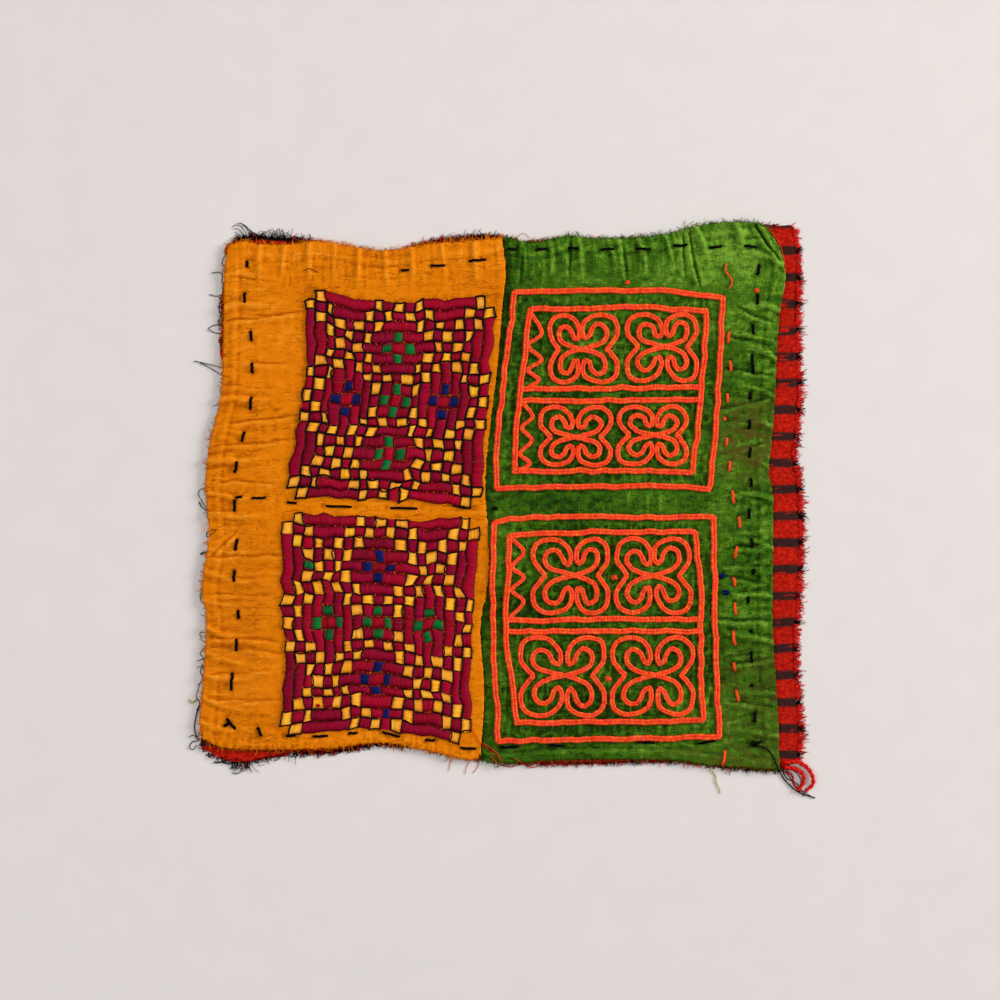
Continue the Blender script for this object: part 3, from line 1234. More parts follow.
def cell_kind(row, column, flowers):
    """The colour of a cell and the way its long bar runs, if it is part of one."""
    for centre_row, centre_column, petals in flowers:
        down, across = abs(row - centre_row), abs(column - centre_column)
        if down + across == 0:
            return "crimson", None
        if down + across == 1:
            return petals, None
    r = min(row, CELLS - 1 - row)
    c = min(column, CELLS - 1 - column)
    if r == 0 and c == 0:
        return None, None
    if abs(r - c) == 1 or r + c in (MIDDLE - 2, MIDDLE):
        return "yellow", None
    if r == c or r + c == MIDDLE - 1:
        return "maroon", None
    return "maroon", ("across" if r < c else "down")


def check_bars(kinds):
    """Bars of the pattern as colour, direction, first row, last row, first and last column."""
    bars = []
    for row in range(CELLS):
        for column in range(CELLS):
            colour, way = kinds[row][column]
            if colour is None:
                continue
            if way is None:
                bars.append((colour, "small", row, row, column, column))
                continue
            step = (0, 1) if way == "across" else (1, 0)
            before = (row - step[0], column - step[1])
            if min(before) >= 0 and kinds[before[0]][before[1]] == (colour, way):
                continue
            last_row, last_column = row, column
            while (
                last_row + step[0] < CELLS
                and last_column + step[1] < CELLS
                and kinds[last_row + step[0]][last_column + step[1]] == (colour, way)
            ):
                last_row += step[0]
                last_column += step[1]
            bars.append((colour, way, row, last_row, column, last_column))
    return bars


def layered(bars):
    """The bars with an inset: petals are worked smaller, over a maroon cell."""
    for colour, *rest in bars:
        if colour in ("leaf", "navy"):
            yield ("maroon", *rest, 0.0)
            yield (colour, *rest, 0.08)
        else:
            yield (colour, *rest, 0.0)


def block_grid(name, edges, random):
    """Corners of a block's cells in mm, wider round its flowers and as uneven as hand work."""
    patch = Patch(edges)
    corners = np.arange(CELLS + 1)
    columns, rows = np.meshgrid(corners, corners)
    grid = patch.at(columns / CELLS, 1 - rows / CELLS)
    for row, column, _ in FLOWERS[name]:
        away = grid - patch.at((column + 0.5) / CELLS, 1 - (row + 0.5) / CELLS)
        distance = np.linalg.norm(away, axis=-1, keepdims=True)
        grid = grid + away * 0.13 * bell(distance, 13)
    grid = grid + random.normal(0, 0.52, grid.shape)
    by_row = random.normal(0, 0.3, (CELLS + 1, 1, 2))
    by_column = random.normal(0, 0.3, (1, CELLS + 1, 2))
    return grid + by_row + by_column


def block_kinds(name):
    """The kinds of a block's cells, by row and column."""
    kinds = [[cell_kind(r, c, FLOWERS[name]) for c in range(CELLS)] for r in range(CELLS)]
    for block, row, column, colour in ODD_CELLS:
        if block == name:
            kinds[row][column] = (colour, None)
    return kinds


def in_cells(grid, row, column):
    """Places between the corners of the cells, with row and column as arrays."""
    r0 = np.clip(np.floor(row).astype(int), 0, CELLS - 1)
    c0 = np.clip(np.floor(column).astype(int), 0, CELLS - 1)
    fr, fc = (row - r0)[..., None], (column - c0)[..., None]
    return (
        grid[r0, c0] * (1 - fr) * (1 - fc)
        + grid[r0, c0 + 1] * (1 - fr) * fc
        + grid[r0 + 1, c0] * fr * (1 - fc)
        + grid[r0 + 1, c0 + 1] * fr * fc
    )


def satin_bar(strands, grid, bar, sizes, random):
    """Parallel satin stitches over one cell or a row of cells."""
    colour, way, row0, row1, column0, column1, inset = bar
    threads_across = way == "across" or (way == "small" and random.random() < 0.6)
    cells = (column1 - column0 + 1) if threads_across else (row1 - row0 + 1)
    density, rise = SATIN["small maroon" if (colour, way) == ("maroon", "small") else colour]
    rise += 5 * inset
    count = max(6, int(cells * CELL_SIZE / sizes.floss_pitch * density))
    base = thread_colour(colour)
    if colour == "maroon":
        other = thread_colour("plum" if random.random() < 0.5 else "crimson")
        base = base * 0.65 + other * 0.35
    along, lift, shade, shine = np.array(SATIN_SECTION, dtype=float).T
    spread = np.linspace(0.06 + inset, cells - 0.06 - inset, count)
    spread = spread + random.normal(0, 0.012, count)
    lean = random.normal(0, 0.03)
    cut = inset + (1 - 2 * inset) * along[None] + random.normal(0, 0.02, (count, 1))
    slant = spread[:, None] + lean * (along[None] - 0.5)
    if threads_across:
        place = in_cells(grid, row0 + cut, np.clip(column0 + slant, 0, CELLS))
    else:
        place = in_cells(grid, np.clip(row0 + slant, 0, CELLS), column0 + cut)
    end = np.minimum(spread, spread[-1] + spread[0] - spread)
    dome = rise * (0.72 + 0.28 * ramp(end, 0, 0.45))
    z = PANEL_TOP + 0.12 + dome[:, None] * lift[None]
    z = z + random.normal(0, 0.05, (count, 1))
    paths = lifted(place, z)
    tone = 1 + random.normal(0, 0.1, (count, 1)) + 0.1 * random.normal()
    tints = base[None] * tone * np.exp(random.normal(0, (0.02, 0.1, 0.3), (count, 3)))
    tints = tints[:, None] * shade[None, :, None]
    if colour == "yellow":
        shine = (shine * random.uniform(0, 1))[None, :, None]
        tints = tints * 1.1 + (thread_colour("shine") - tints) * shine
    tints = np.clip(tints, 0, 1)
    strands.add(paths, sizes.floss_radius / MM, tints, sides=3, flat=0.9, half=True)


def specks(strands, grid, random):
    """Bits of the orange ground between the bars."""
    for _ in range(SPECKS):
        row, column = random.integers(1, CELLS, 2)
        start = grid[row, column] + (grid[row, column - 1] - grid[row, column]) * random.random()
        place = start + np.linspace(-0.5, 0.5, 3)[:, None] * random.normal(0, 0.8, 2)
        z = PANEL_TOP + np.array([0.5, 1.15, 0.5])
        paths = lifted(place, z)[None]
        strands.add(paths, 0.16, thread_colour("speck"), sides=4)


def yellow_sides(kinds):
    """The sides of all yellow cells as pairs of corners, in order."""
    sides = set()
    for row in range(CELLS):
        for column in range(CELLS):
            if kinds[row][column][0] == "yellow":
                sides |= {
                    ((row, column), (row, column + 1)),
                    ((row + 1, column), (row + 1, column + 1)),
                    ((row, column), (row + 1, column)),
                    ((row, column + 1), (row + 1, column + 1)),
                }
    return sorted(sides)


def outline(strands, start, end, radius, random):
    """Black thread couched along one side of a cell."""
    share = np.linspace(-0.06, 1.06, 6)
    place = start[None] * (1 - share[:, None]) + end[None] * share[:, None]
    normal = np.array([start[1] - end[1], end[0] - start[0]])
    bow = np.sin(np.clip(share, 0, 1) * math.pi) * random.normal(0, 0.06)
    place = place + normal * bow[:, None] + random.normal(0, 0.06, place.shape)
    rise = np.array([0.1, 0.75, 0.95, 0.95, 0.75, 0.1])
    z = PANEL_TOP + 0.15 + rise * random.uniform(0.75, 1.05)
    paths = lifted(place, z)[None]
    strands.add(paths, radius, thread_colour("black"), sides=4)


def build_check_block(name, edges, material, sizes, seed):
    """Satin stitch over a counted grid, with black thread round the small checks."""
    random = np.random.default_rng(seed)
    grid = block_grid(name, edges, random)
    kinds = block_kinds(name)
    strands = Strands()
    for bar in layered(check_bars(kinds)):
        satin_bar(strands, grid, bar, sizes, random)
    specks(strands, grid, random)
    radius = sizes.outline_radius / MM * OUTLINE_SHARES[name]
    for first, second in yellow_sides(kinds):
        outline(strands, grid[first], grid[second], radius, random)
    return strands.build(name + "_stitches", material, node=name, slot="maroon_floss")


# Chain stitch


def link_paths(line, pitch, width):
    """Both sides of each link along a line, as strands by points by x, y, z."""
    count = max(2, round(line.length / pitch))
    shares = (np.arange(count) + 0.5) / count
    middle = line.at(shares)
    along = line.direction(shares)
    across = np.stack([-along[:, 1], along[:, 0]], axis=-1)
    step = line.length / count
    shape = np.array(LINK)
    strands = []
    for side in (-1, 1):
        place = (
            middle[:, None]
            + along[:, None] * (shape[None, :, 0:1] * step)
            + across[:, None] * (shape[None, :, 1:2] * side * width / 2)
        )
        z = np.broadcast_to(PANEL_TOP + 0.1 + shape[None, :, 2:3], (count, len(shape), 1))
        strands.append(np.concatenate([place, z], axis=-1))
    return np.stack(strands, axis=1).reshape(2 * count, len(shape), 3)


def chain(strands, line, pitch, width, random):
    """Chain stitch along a line, slightly uneven from link to link."""
    paths = link_paths(line, pitch, width)
    count = len(paths)
    thickness, wear = np.array(LINK)[:, 3:].T
    shift = np.repeat(random.normal(0, 0.07, (count // 2, 1, 3)), 2, axis=0)
    paths = paths + shift + random.normal(0, 0.03, (count, 1, 3))
    tone = 1 + np.repeat(random.normal(0, 0.09, (count // 2, 1)), 2, axis=0)
    tone = tone + random.normal(0, 0.05, (count, 1))
    hue = np.exp(random.normal(0, (0.02, 0.24, 0.3), (count, 3)))
    worn = wear[None, :, None] ** np.array([0.3, 1.0, 1.2])
    tints = np.clip((thread_colour("scroll")[None] * tone * hue)[:, None] * worn, 0, 1)
    strands.add(paths, width * 0.248 * thickness, tints, sides=5, ply=0.9)


def scroll_lines(row, random):
    """The two lines of a scroll, which cross in its middle."""
    left, right, bottom, top, middle_x, middle_y = row
    # The stitches reach this far past their line, up to the edge of the scroll's box.
    reach = 1.2
    lines = []
    for upward in (1, -1):
        halves = []
        for sideways, vertical in ((-1, upward), (1, -upward)):
            wide = (middle_x - left if sideways < 0 else right - middle_x) - reach
            high = (middle_y - bottom if vertical < 0 else top - middle_y) - reach
            rows = []
            wide_inside, high_inside, sway = random.uniform(-0.07, 0.07, 3)
            for index, (across, up) in enumerate(HOOK):
                inside = 0.0 if index < HOOK_INSIDE else 1.0
                px = across + inside * wide_inside * (across - 0.35) + sway * up * 0.5
                py = up + inside * high_inside * up
                shift = 0.0 if index == 0 else 0.4 * (random.random() - 0.5)
                x = middle_x + sideways * min(px, 1.0) * wide + shift
                y = middle_y + vertical * py * high + shift
                rows.append((x, y))
            halves.append(rows)
        lines.append(halves[0] + [(middle_x, middle_y)] + halves[1][::-1])
    return lines


def uneven(rows, random, amount):
    """Rows of a straight-sided line with points added between them and moved a little."""
    step = 5.5
    out = [rows[0]]
    for start, end in zip(rows, rows[1:]):
        start, end = np.array(start, dtype=float), np.array(end, dtype=float)
        length = np.linalg.norm(end - start)
        parts = max(1, int(length / step))
        normal = np.array([start[1] - end[1], end[0] - start[0]]) / length
        for part in range(1, parts):
            out.append(start + (end - start) * part / parts + normal * random.normal(0, amount))
        out.append(end)
    return [tuple(point) for point in out]


# Running stitches and loose threads


@functools.cache
def height_map():
    """Heights of what lies uppermost in mm, in cells of 1 mm."""
    grid = np.zeros((2 * RASTER_REACH, 2 * RASTER_REACH))
    shares = np.linspace(0, 1, 520)
    s, t = np.meshgrid(shares, shares)
    for edges, level, height in (
        (BACKING_EDGES, BACKING_TOP, backing_height),
        (ORANGE_EDGES, PANEL_TOP, orange_height),
        (GREEN_EDGES, PANEL_TOP, green_height),
    ):
        place = Patch(edges).at(s, t)
        x, y = place[..., 0], place[..., 1]
        np.maximum.at(grid, raster_cells(x, y), level + height(s, t, x, y))
    return grid


def surface_z(x, y):
    """Height of what lies uppermost at a place, in mm."""
    x, y = np.atleast_1d(np.asarray(x, dtype=float)), np.atleast_1d(np.asarray(y, dtype=float))
    return height_map()[raster_cells(x, y)]


def running(strands, table, upright, radius, tint, random):
    """Short stitches that dip into the cloth at both ends."""
    share = np.linspace(0, 1, 8)
    lift = np.array([-0.9, 0.15, 0.5, 0.62, 0.62, 0.5, 0.15, -0.9])
    for x, y, length, turn in table:
        angle = math.radians((-90 if upright else 0) + turn)
        along = np.array([math.cos(angle), math.sin(angle)])
        place = np.array([x, y]) + along * (share[:, None] * length)
        place = place + random.normal(0, 0.12, place.shape)
        ground = surface_z(place[:, 0], place[:, 1])
        low = np.minimum(ground[0], ground[-1])
        level = np.concatenate([[low], np.full(6, ground.max() - 0.2), [low]])
        level[[1, 6]] = level[[1, 6]] * 0.6 + low * 0.4
        path = lifted(place, level + lift * min(1, length / 3))
        normal = np.array([-along[1], along[0], 0.0])
        for ply in (-1, 1):
            offset = normal * (ply * radius * 0.55)
            thickness = radius * random.uniform(0.7, 0.85)
            strands.add((path + offset)[None], thickness, tint, sides=6, ply=1.6)


def knot(strands, x, y, reach, tint, random):
    """A small tangle of thread over one place."""
    level = float(surface_z(x, y)[0]) + 0.35
    for turn in range(5):
        angle = random.uniform(0, math.pi)
        share = np.linspace(-1, 1, 6)
        bow = 0.35 * reach * random.normal() * (1 - share**2)
        px = x + reach * share * math.cos(angle) - bow * math.sin(angle)
        py = y + 0.7 * reach * share * math.sin(angle) + bow * math.cos(angle)
        pz = level + 0.55 * (1 - share**2) + 0.1 * turn - 0.5 * np.abs(share) ** 4
        strands.add(np.stack([px, py, pz], axis=-1)[None], 0.36, tint, sides=6, ply=1.1)


def curled(strands, root, along, length, spread, curl, radius, tints, high, low, random):
    """Short threads that leave their roots to the outer side, bend and lie down."""
    count = len(root)
    steps = np.linspace(0, 1, 6)
    heading = random.normal(0, 1, (count, 1)) * spread
    bend = random.choice([-1, 1], (count, 1)) * random.uniform(0.2, 1, (count, 1))
    heading = heading + bend * curl * steps
    heading = heading + 0.25 * np.sin(steps * 9 + random.random((count, 1)) * 6)
    heading = np.clip(heading, -1.4 - 0.6 * curl, 1.4 + 0.6 * curl)
    pace = length[:, None] / (len(steps) - 1)
    out = np.cumsum(np.cos(heading) * pace, axis=1) - 0.5
    side = np.cumsum(np.sin(heading) * pace, axis=1)
    outward = np.stack([-along[:, 1], along[:, 0]], axis=-1)
    place = root[:, None] + outward[:, None] * out[..., None] + along[:, None] * side[..., None]
    fall = np.clip(1 - steps * 1.3, 0, 1) ** 1.3
    lift = random.random((count, 1)) * 0.7 * np.sin(steps * math.pi)
    z = low + (high - low) * fall + lift
    paths = lifted(place, z)
    thickness = radius * random.uniform(0.65, 1.15, (count, 1)) * (1.1 - 0.5 * steps)
    strands.add(paths, thickness, tints, sides=3, ply=0.8)


def fray(strands, row, random):
    """Loose ends of yarn that leave an edge of the backing, from a row of the frayed stretches."""
    side, first, last, spacing, shortest, longest, spread, curl, radius, darkness = row
    line = Line(FRAY_LINES[side])
    count = int((last - first) * line.length / spacing)
    share = first + (last - first) * (np.arange(count) + random.random(count)) / count
    root = line.at(share)
    # Most threads are short. The last number, in mm, is for the part that stays at the edge.
    length = shortest + (longest - shortest) * random.random(count) ** 1.8 + 0.9
    turn = (root[:, 1] - FIRST_STRIPE) / STRIPE_PITCH
    stripe = np.abs(turn - np.round(turn)) * STRIPE_PITCH
    dark = ((side == "right") & (stripe < 1.3)) | (random.random(count) < darkness)
    tints = np.where(dark[:, None], thread_colour("black"), thread_colour("red"))
    tints = np.clip(tints * (1 + random.normal(0, 0.3, (count, 1))), 0, 1)
    # Heights in mm at the root and at the end.
    levels = (1.9, 1.3) if side == "under" else (BACKING_TOP, 0.3)
    along = line.direction(share)
    curled(strands, root, along, length, spread, curl, radius, tints, *levels, random)


def fibres(strands, rows, spacing, tint, random):
    """Short fibres along one edge of an upper cloth, whose points run clockwise."""
    line = Line(rows)
    count = int(line.length / spacing)
    share = (np.arange(count) + random.random(count)) / count
    length = 1.4 + 2.4 * random.random(count) ** 3
    tints = np.clip(np.array(tint)[None] * (0.9 + random.normal(0, 0.25, (count, 1))), 0, 1)
    root = line.at(share)
    levels = PANEL_TOP, 1.5
    curled(strands, root, line.direction(share), length, 0.9, 2.2, 0.2, tints, *levels, random)


def loose(strands, colour, radius, rows):
    """One loose thread through a few points, lying on what is below it."""
    line = Line(rows)
    steps = np.linspace(0, 1, max(12, int(line.length / 0.7)))
    place = line.at(steps)
    z = surface_z(place[:, 0], place[:, 1]) + radius
    z = np.convolve(np.pad(z, 2, mode="edge"), np.ones(5) / 5, mode="valid")
    z = z + 0.25 * np.sin(steps * 9 + rows[0][1]) ** 2
    paths = lifted(place, z)[None]
    taper = np.linspace(1.0, 0.7, len(steps))[None]
    tint = thread_colour(colour)
    # A thin thread is one yarn, and a thick one is two yarns wound round each other.
    if radius < 0.4:
        strands.add(paths, radius * taper, tint, sides=6, ply=1.1)
        return
    along = line.direction(steps)
    turn = steps * line.length / (radius * 5) * 2 * math.pi
    for phase in (0, math.pi):
        side = np.cos(turn + phase) * radius * 0.5
        wound = paths.copy()
        wound[0, :, 0] -= along[:, 1] * side
        wound[0, :, 1] += along[:, 0] * side
        wound[0, :, 2] += np.sin(turn + phase) * radius * 0.4
        strands.add(wound, radius * 0.62 * taper, tint, sides=7, ply=1.1)


# Settings


def length_property(name, description, default, least):
    """A length, from its default and its least value in mm."""
    return FloatProperty(
        name=name, description=description, default=default * MM, min=least * MM, unit="LENGTH"
    )


def colour_property(name, description, steps):
    """A colour, from its eight-bit display steps."""
    return FloatVectorProperty(
        name=name, description=description, subtype="COLOR", size=3, min=0, max=1,
        default=linear(steps),
    )


class PanelSizes(bpy.types.PropertyGroup):
    cloth_pitch: length_property("Cloth grid", "Spacing of the points of each cloth", 0.87, 0.5)
    weave_pitch: length_property("Weave pitch", "Distance between two threads", 0.9, 0.2)
    floss_pitch: FloatProperty(
        name="Floss spacing", description="Spacing of satin stitches in mm", default=0.46, min=0.2
    )
    floss_radius: length_property("Floss radius", "Half width of one satin stitch", 0.3, 0.05)
    outline_radius: length_property("Outline radius", "Half width of the black thread", 0.5, 0.05)
    link_pitch: length_property("Link pitch", "Length of one chain stitch", 1.5, 0.5)
    frame_width: length_property("Frame width", "Width of frames and rules", 3.05, 1)
    scroll_width: length_property("Scroll width", "Width of the line of a scroll", 2.65, 1)
    stitch_radius: length_property("Stitch radius", "Half width of a running stitch", 0.62, 0.1)
    stripe_pitch: length_property("Stripe pitch", "Distance between dark stripes", STRIPE_PITCH, 2)
    stripe_width: length_property("Stripe width", "Width of a dark stripe", 4.8, 0.5)


class PanelColours(bpy.types.PropertyGroup):
    orange_dark: colour_property("Orange shadow", "Orange cloth in its creases", (182, 88, 0))
    orange: colour_property("Orange", "Orange cloth", (233, 128, 4))
    orange_light: colour_property("Orange light", "Worn orange cloth", (252, 156, 40))
    orange_stain: colour_property("Orange stain", "Darker marks on the orange cloth", (196, 104, 8))
    orange_other: colour_property("Orange hue", "Redder parts of the orange cloth", (226, 112, 8))
    green_dark: colour_property("Green shadow", "Green cloth in its creases", (28, 46, 2))
    green: colour_property("Green", "Green cloth", (68, 110, 14))
    green_light: colour_property("Green light", "Faded green cloth", (124, 168, 50))
    green_stain: colour_property("Olive stain", "Marks on the green cloth", (86, 82, 24))
    green_other: colour_property("Green hue", "Cooler parts of the green cloth", (30, 96, 30))
    backing: colour_property("Backing", "Red of the backing", (162, 14, 6))
    backing_faded: colour_property("Backing faded", "Faded red of the backing", (200, 36, 18))
    stripe: colour_property("Stripe", "Dark stripes of the backing", (38, 32, 30))
    ground: colour_property("Surface", "Plain surface below the panel", (228, 221, 217))


class PanelSettings(bpy.types.PropertyGroup):
    sizes: PointerProperty(type=PanelSizes)
    colours: PointerProperty(type=PanelColours)


def settings():
    """The sizes and colours of this scene."""
    return bpy.context.scene.textile_panel


def flat_size(edges):
    """Middle width and length of a cloth in metres."""
    patch = Patch(edges)
    width = np.linalg.norm(patch.at(1.0, 0.5) - patch.at(0.0, 0.5))
    length = np.linalg.norm(patch.at(0.5, 1.0) - patch.at(0.5, 0.0))
    return float(width) * MM, float(length) * MM


class Step(bpy.types.Operator):
    """Base of the operators below, which build one piece or a group of like pieces."""

    bl_options = {"REGISTER", "UNDO"}

    def execute(self, context):
        made = self.make(settings().sizes, settings().colours)
        if not made:
            raise RuntimeError(f"{self.bl_label} made nothing")
        return {"FINISHED"}


class TEXTILE_OT_stage(Step):
    """Surface and lights"""

    bl_idname = "textile.stage"
    bl_label = "Stage"

    def make(self, sizes, colours):
        graph = Graph("surface")
        x, y, _ = graph.place()
        grain = graph.noise(x * 0.05, y * 0.05, 0.0, 3.0)
        colour = graph.mix(
            graph.between(grain, 0.2, 0.8), colours.ground, [c * 1.03 for c in colours.ground]
        )
        roughness = 0.9 + (grain - 0.5) * 0.05
        paper = graph.surface(
            colour, roughness, grain, distance=0.0001, strength=0.1, specular=0.1
        )
        mesh = bpy.data.meshes.new("surface")
        # Half the side of the surface in metres.
        reach = 3.0
        corners = [(-reach, -reach, 0), (reach, -reach, 0), (reach, reach, 0), (-reach, reach, 0)]
        mesh.from_pydata(corners, [], [(0, 1, 2, 3)])
        mesh.materials.append(paper)
        floor = bpy.data.objects.new("surface", mesh)
        bpy.context.scene.collection.objects.link(floor)
        # Columns: name, place in metres, side in metres, power in watts.
        lamps = [
            ("key", (2.3, 0.9, 1.0), 1.0, 75.0),
            ("fill", (-1.0, -0.2, 1.4), 1.0, 9.0),
            ("top", (0.0, 0.4, 1.9), 1.4, 4.0),
        ]
        for name, place, side, power in lamps:
            light = bpy.data.lights.new(name, "AREA")
            light.size = side
            light.energy = power
            lamp = bpy.data.objects.new(name, light)
            lamp.location = place
            inward = Vector((0, 0, 0)) - Vector(place)
            lamp.rotation_euler = inward.to_track_quat("-Z", "Y").to_euler()
            bpy.context.scene.collection.objects.link(lamp)
        world = bpy.data.worlds.new("studio")
        world.use_nodes = True
        world.node_tree.nodes["Background"].inputs["Color"].default_value = (1, 1, 1, 1)
        world.node_tree.nodes["Background"].inputs["Strength"].default_value = 0.27
        bpy.context.scene.world = world
        bpy.context.scene.view_settings.view_transform = "Standard"
        return floor


class TEXTILE_OT_backing(Step):
    """Striped backing cloth"""

    bl_idname = "textile.backing"
    bl_label = "Backing"

    def make(self, sizes, colours):
        material = striped(
            "striped_cotton", colours.backing, colours.backing_faded, colours.stripe,
            sizes.stripe_pitch / MM, sizes.stripe_width / MM, sizes.weave_pitch / MM,
        )
        made = sheet_mesh(
            "backing", BACKING_EDGES, 2.3 * sizes.cloth_pitch / MM, BACKING_TOP,
            backing_height, backing_shade, no_stain, material,
            node="backing_cloth", ragged=0.55, thickness=0.85,
        )
        flat_size(BACKING_EDGES)
        return made


class TEXTILE_OT_orange(Step):
    """Orange cloth of the left half"""

    bl_idname = "textile.orange"
    bl_label = "Orange cloth"

    def make(self, sizes, colours):
        material = cotton(
            "orange_cotton", colours.orange_dark, colours.orange, colours.orange_light,
            colours.orange_stain, colours.orange_other, sizes.weave_pitch / MM,
            hues=0.3, spots=0.2, contrast=0.6, grain=0.45,
        )
        made = sheet_mesh(
            "orange_cloth", ORANGE_EDGES, sizes.cloth_pitch / MM, PANEL_TOP,
            orange_height, orange_shade, orange_stain, material,
            node="orange_panel", ragged=0.26, thickness=1.0,
        )
        flat_size(ORANGE_EDGES)
        return made


class TEXTILE_OT_green(Step):
    """Green cloth of the right half"""

    bl_idname = "textile.green"
    bl_label = "Green cloth"

    def make(self, sizes, colours):
        material = cotton(
            "green_cotton", colours.green_dark, colours.green, colours.green_light,
            colours.green_stain, colours.green_other, sizes.weave_pitch / MM,
            hues=0.5, spots=0.6, contrast=1.25, grain=1.2,
        )
        made = sheet_mesh(
            "green_cloth", GREEN_EDGES, sizes.cloth_pitch / MM, PANEL_TOP,
            green_height, green_shade, green_stain, material,
            node="green_panel", ragged=0.2, thickness=1.0,
        )
        flat_size(GREEN_EDGES)
        return made


class TEXTILE_OT_checks(Step):
    """Two counted check blocks in satin stitch"""

    bl_idname = "textile.checks"
    bl_label = "Check blocks"

    def make(self, sizes, colours):
        floss = thread_material("floss", roughness=0.5, specular=0.08, twist_depth=0.0)
        return [
            build_check_block(name, edges, floss, sizes, 60 + index)
            for index, (name, edges) in enumerate(CHECK_BLOCKS.items())
        ]


class TEXTILE_OT_frames(Step):
    """Frames, rules and zigzags in chain stitch"""

    bl_idname = "textile.frames"
    bl_label = "Chain-stitched frames"

    def make(self, sizes, colours):
        material = thread_material("chain_thread", roughness=0.6, specular=0.08, twist_depth=0.5)
        pitch, width = sizes.link_pitch / MM, sizes.frame_width / MM
        random = np.random.default_rng(71)
        made = []
        for name, lines in FRAMES.items():
            strands = Strands()
            loop = uneven(lines["loop"] + lines["loop"][:1], random, lines["uneven"])
            chain(strands, Line(loop, sharp=True), pitch, width, random)
            for rule in lines["rules"]:
                chain(strands, Line(uneven(rule, random, 0.3), sharp=True), pitch, width, random)
            for zigzag in lines["zigzags"]:
                chain(strands, Line(zigzag), pitch, width * 0.72, random)
            made.append(
                strands.build(name + "_stitches", material, node=name, slot="scroll_thread")
            )
        return made


class TEXTILE_OT_scrolls(Step):
    """Eight scrolls in chain stitch"""

    bl_idname = "textile.scrolls"
    bl_label = "Scrolls"

    def make(self, sizes, colours):
        material = thread_material("scroll_thread", roughness=0.6, specular=0.08, twist_depth=0.5)
        pitch, width = sizes.link_pitch / MM, sizes.scroll_width / MM
        random = np.random.default_rng(72)
        made = []
        for name, row in SCROLLS.items():
            strands = Strands()
            for rows in scroll_lines(row, random):
                chain(strands, Line(rows), pitch, width, random)
            made.append(
                strands.build(name + "_stitches", material, node=name, slot="scroll_thread")
            )
        return made


class TEXTILE_OT_running(Step):
    """Running stitches and knots"""

    bl_idname = "textile.running"
    bl_label = "Running stitches"

    def make(self, sizes, colours):
        material = thread_material("sewing_thread", roughness=0.7, specular=0.04, twist_depth=0.8)
        random = np.random.default_rng(73)
        radius = sizes.stitch_radius / MM
        black = thread_colour("black")
        strands = Strands()
        running(strands, BLACK_UPRIGHT, True, radius, black, random)
        running(strands, BLACK_LEVEL, False, radius * 0.85, black, random)
        running(strands, RED_UPRIGHT, True, radius * 0.85, thread_colour("scroll"), random)
        for x, y, reach, colour in KNOTS:
            knot(strands, x, y, reach, thread_colour(colour), random)
        return strands.build("running_stitches", material, slot="dark_thread")


class TEXTILE_OT_frays(Step):
    """Frayed edges of the backing"""

    bl_idname = "textile.frays"
    bl_label = "Frayed edges"

    def make(self, sizes, colours):
        material = thread_material("frayed_yarn", roughness=0.85, specular=0.04, twist_depth=0.3)
        random = np.random.default_rng(74)
        made = []
        for name, rows in FRAYS.items():
            strands = Strands()
            for row in rows:
                fray(strands, row, random)
            for row in FRAY_THREADS.get(name, ()):
                loose(strands, *row)
            made.append(strands.build(name + "_ends", material, node=name, slot="frayed_yarn"))
        for name, edges, colour in (
            ("orange", ORANGE_EDGES, colours.orange),
            ("green", GREEN_EDGES, colours.green),
        ):
            strands = Strands()
            for side, rows in edges.items():
                # The seam has no fibres, and neither has the right edge.
                if (name, side) not in (("green", "left"), ("green", "right"), ("orange", "right")):
                    clockwise = rows if side in ("top", "left") else rows[::-1]
                    spacing = 0.2 if side == "top" else 0.45
                    fibres(strands, clockwise, spacing, colour, random)
            made.append(strands.build(name + "_fibres", material, slot=name + "_cotton"))
        return made


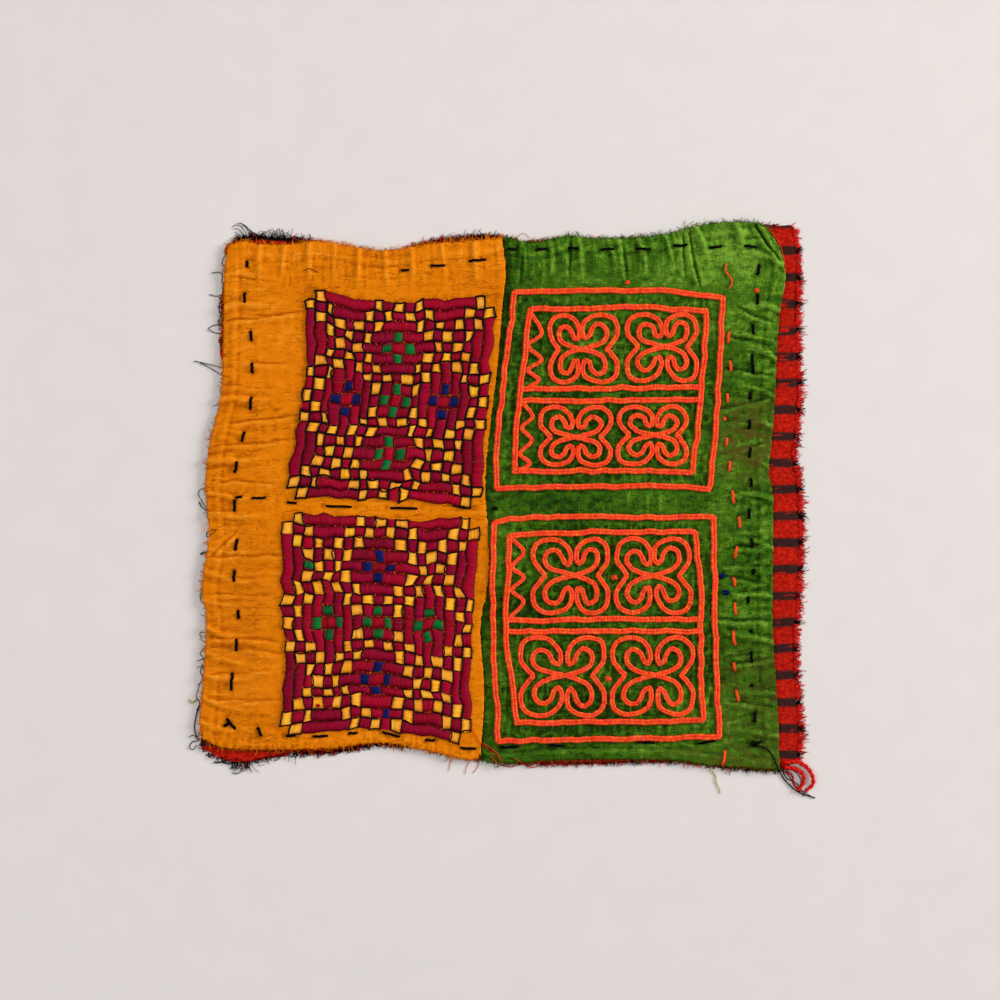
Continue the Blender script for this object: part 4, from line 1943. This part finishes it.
class TEXTILE_OT_loose(Step):
    """Loose sewing threads and the tuft at the corner"""

    bl_idname = "textile.loose"
    bl_label = "Loose threads"

    def make(self, sizes, colours):
        material = thread_material("loose_thread", roughness=0.7, specular=0.04, twist_depth=0.6)
        groups = {"threads_left": Strands(), "tuft_corner": Strands(), "loose_ends": Strands()}
        for colour, radius, rows in LOOSE_THREADS:
            # The place of its last point says to which group a thread belongs.
            x = rows[-1][0]
            key = "threads_left" if x < -140 else "tuft_corner" if x > 130 else "loose_ends"
            loose(groups[key], colour, radius, rows)
        made = []
        for name, strands in groups.items():
            node = None if name == "loose_ends" else name
            made.append(strands.build(name + "_loose", material, node=node, slot="dark_thread"))
        return made


STEPS = (
    TEXTILE_OT_stage,
    TEXTILE_OT_backing,
    TEXTILE_OT_orange,
    TEXTILE_OT_green,
    TEXTILE_OT_checks,
    TEXTILE_OT_frames,
    TEXTILE_OT_scrolls,
    TEXTILE_OT_running,
    TEXTILE_OT_frays,
    TEXTILE_OT_loose,
)


class TEXTILE_PT_panel(bpy.types.Panel):
    """Sizes, colours and steps of the panel"""

    bl_idname = "TEXTILE_PT_panel"
    bl_label = "Textile panel"
    bl_space_type = "VIEW_3D"
    bl_region_type = "UI"
    bl_category = "Textile"

    def draw(self, context):
        layout = self.layout
        for group in (context.scene.textile_panel.sizes, context.scene.textile_panel.colours):
            box = layout.box()
            for key in group.__annotations__:
                box.prop(group, key)
        for step in STEPS:
            layout.operator(step.bl_idname)


CLASSES = (PanelSizes, PanelColours, PanelSettings, *STEPS, TEXTILE_PT_panel)


def register():
    for item in CLASSES:
        bpy.utils.register_class(item)
    bpy.types.Scene.textile_panel = PointerProperty(type=PanelSettings)


def unregister():
    del bpy.types.Scene.textile_panel
    for item in reversed(CLASSES):
        bpy.utils.unregister_class(item)


def add_camera():
    """A long lens straight above the panel, as in the photograph."""
    # Metres above the surface, metres across the picture, and mm across the sensor.
    height, span, sensor = 1.6, 0.5, 36.0
    lens = bpy.data.cameras.new("camera")
    lens.sensor_width = sensor
    lens.lens = sensor * height / span
    camera = bpy.data.objects.new("camera", lens)
    x, y = (VIEW_MIDDLE[axis] - CENTRE[axis] for axis in (0, 1))
    camera.location = (x * MM, y * MM, height)
    bpy.context.scene.collection.objects.link(camera)
    bpy.context.scene.camera = camera


def main():
    add_camera()
    register()
    for step in STEPS:
        group, name = step.bl_idname.split(".")
        getattr(getattr(bpy.ops, group), name)()


if __name__ == "__main__":
    main()
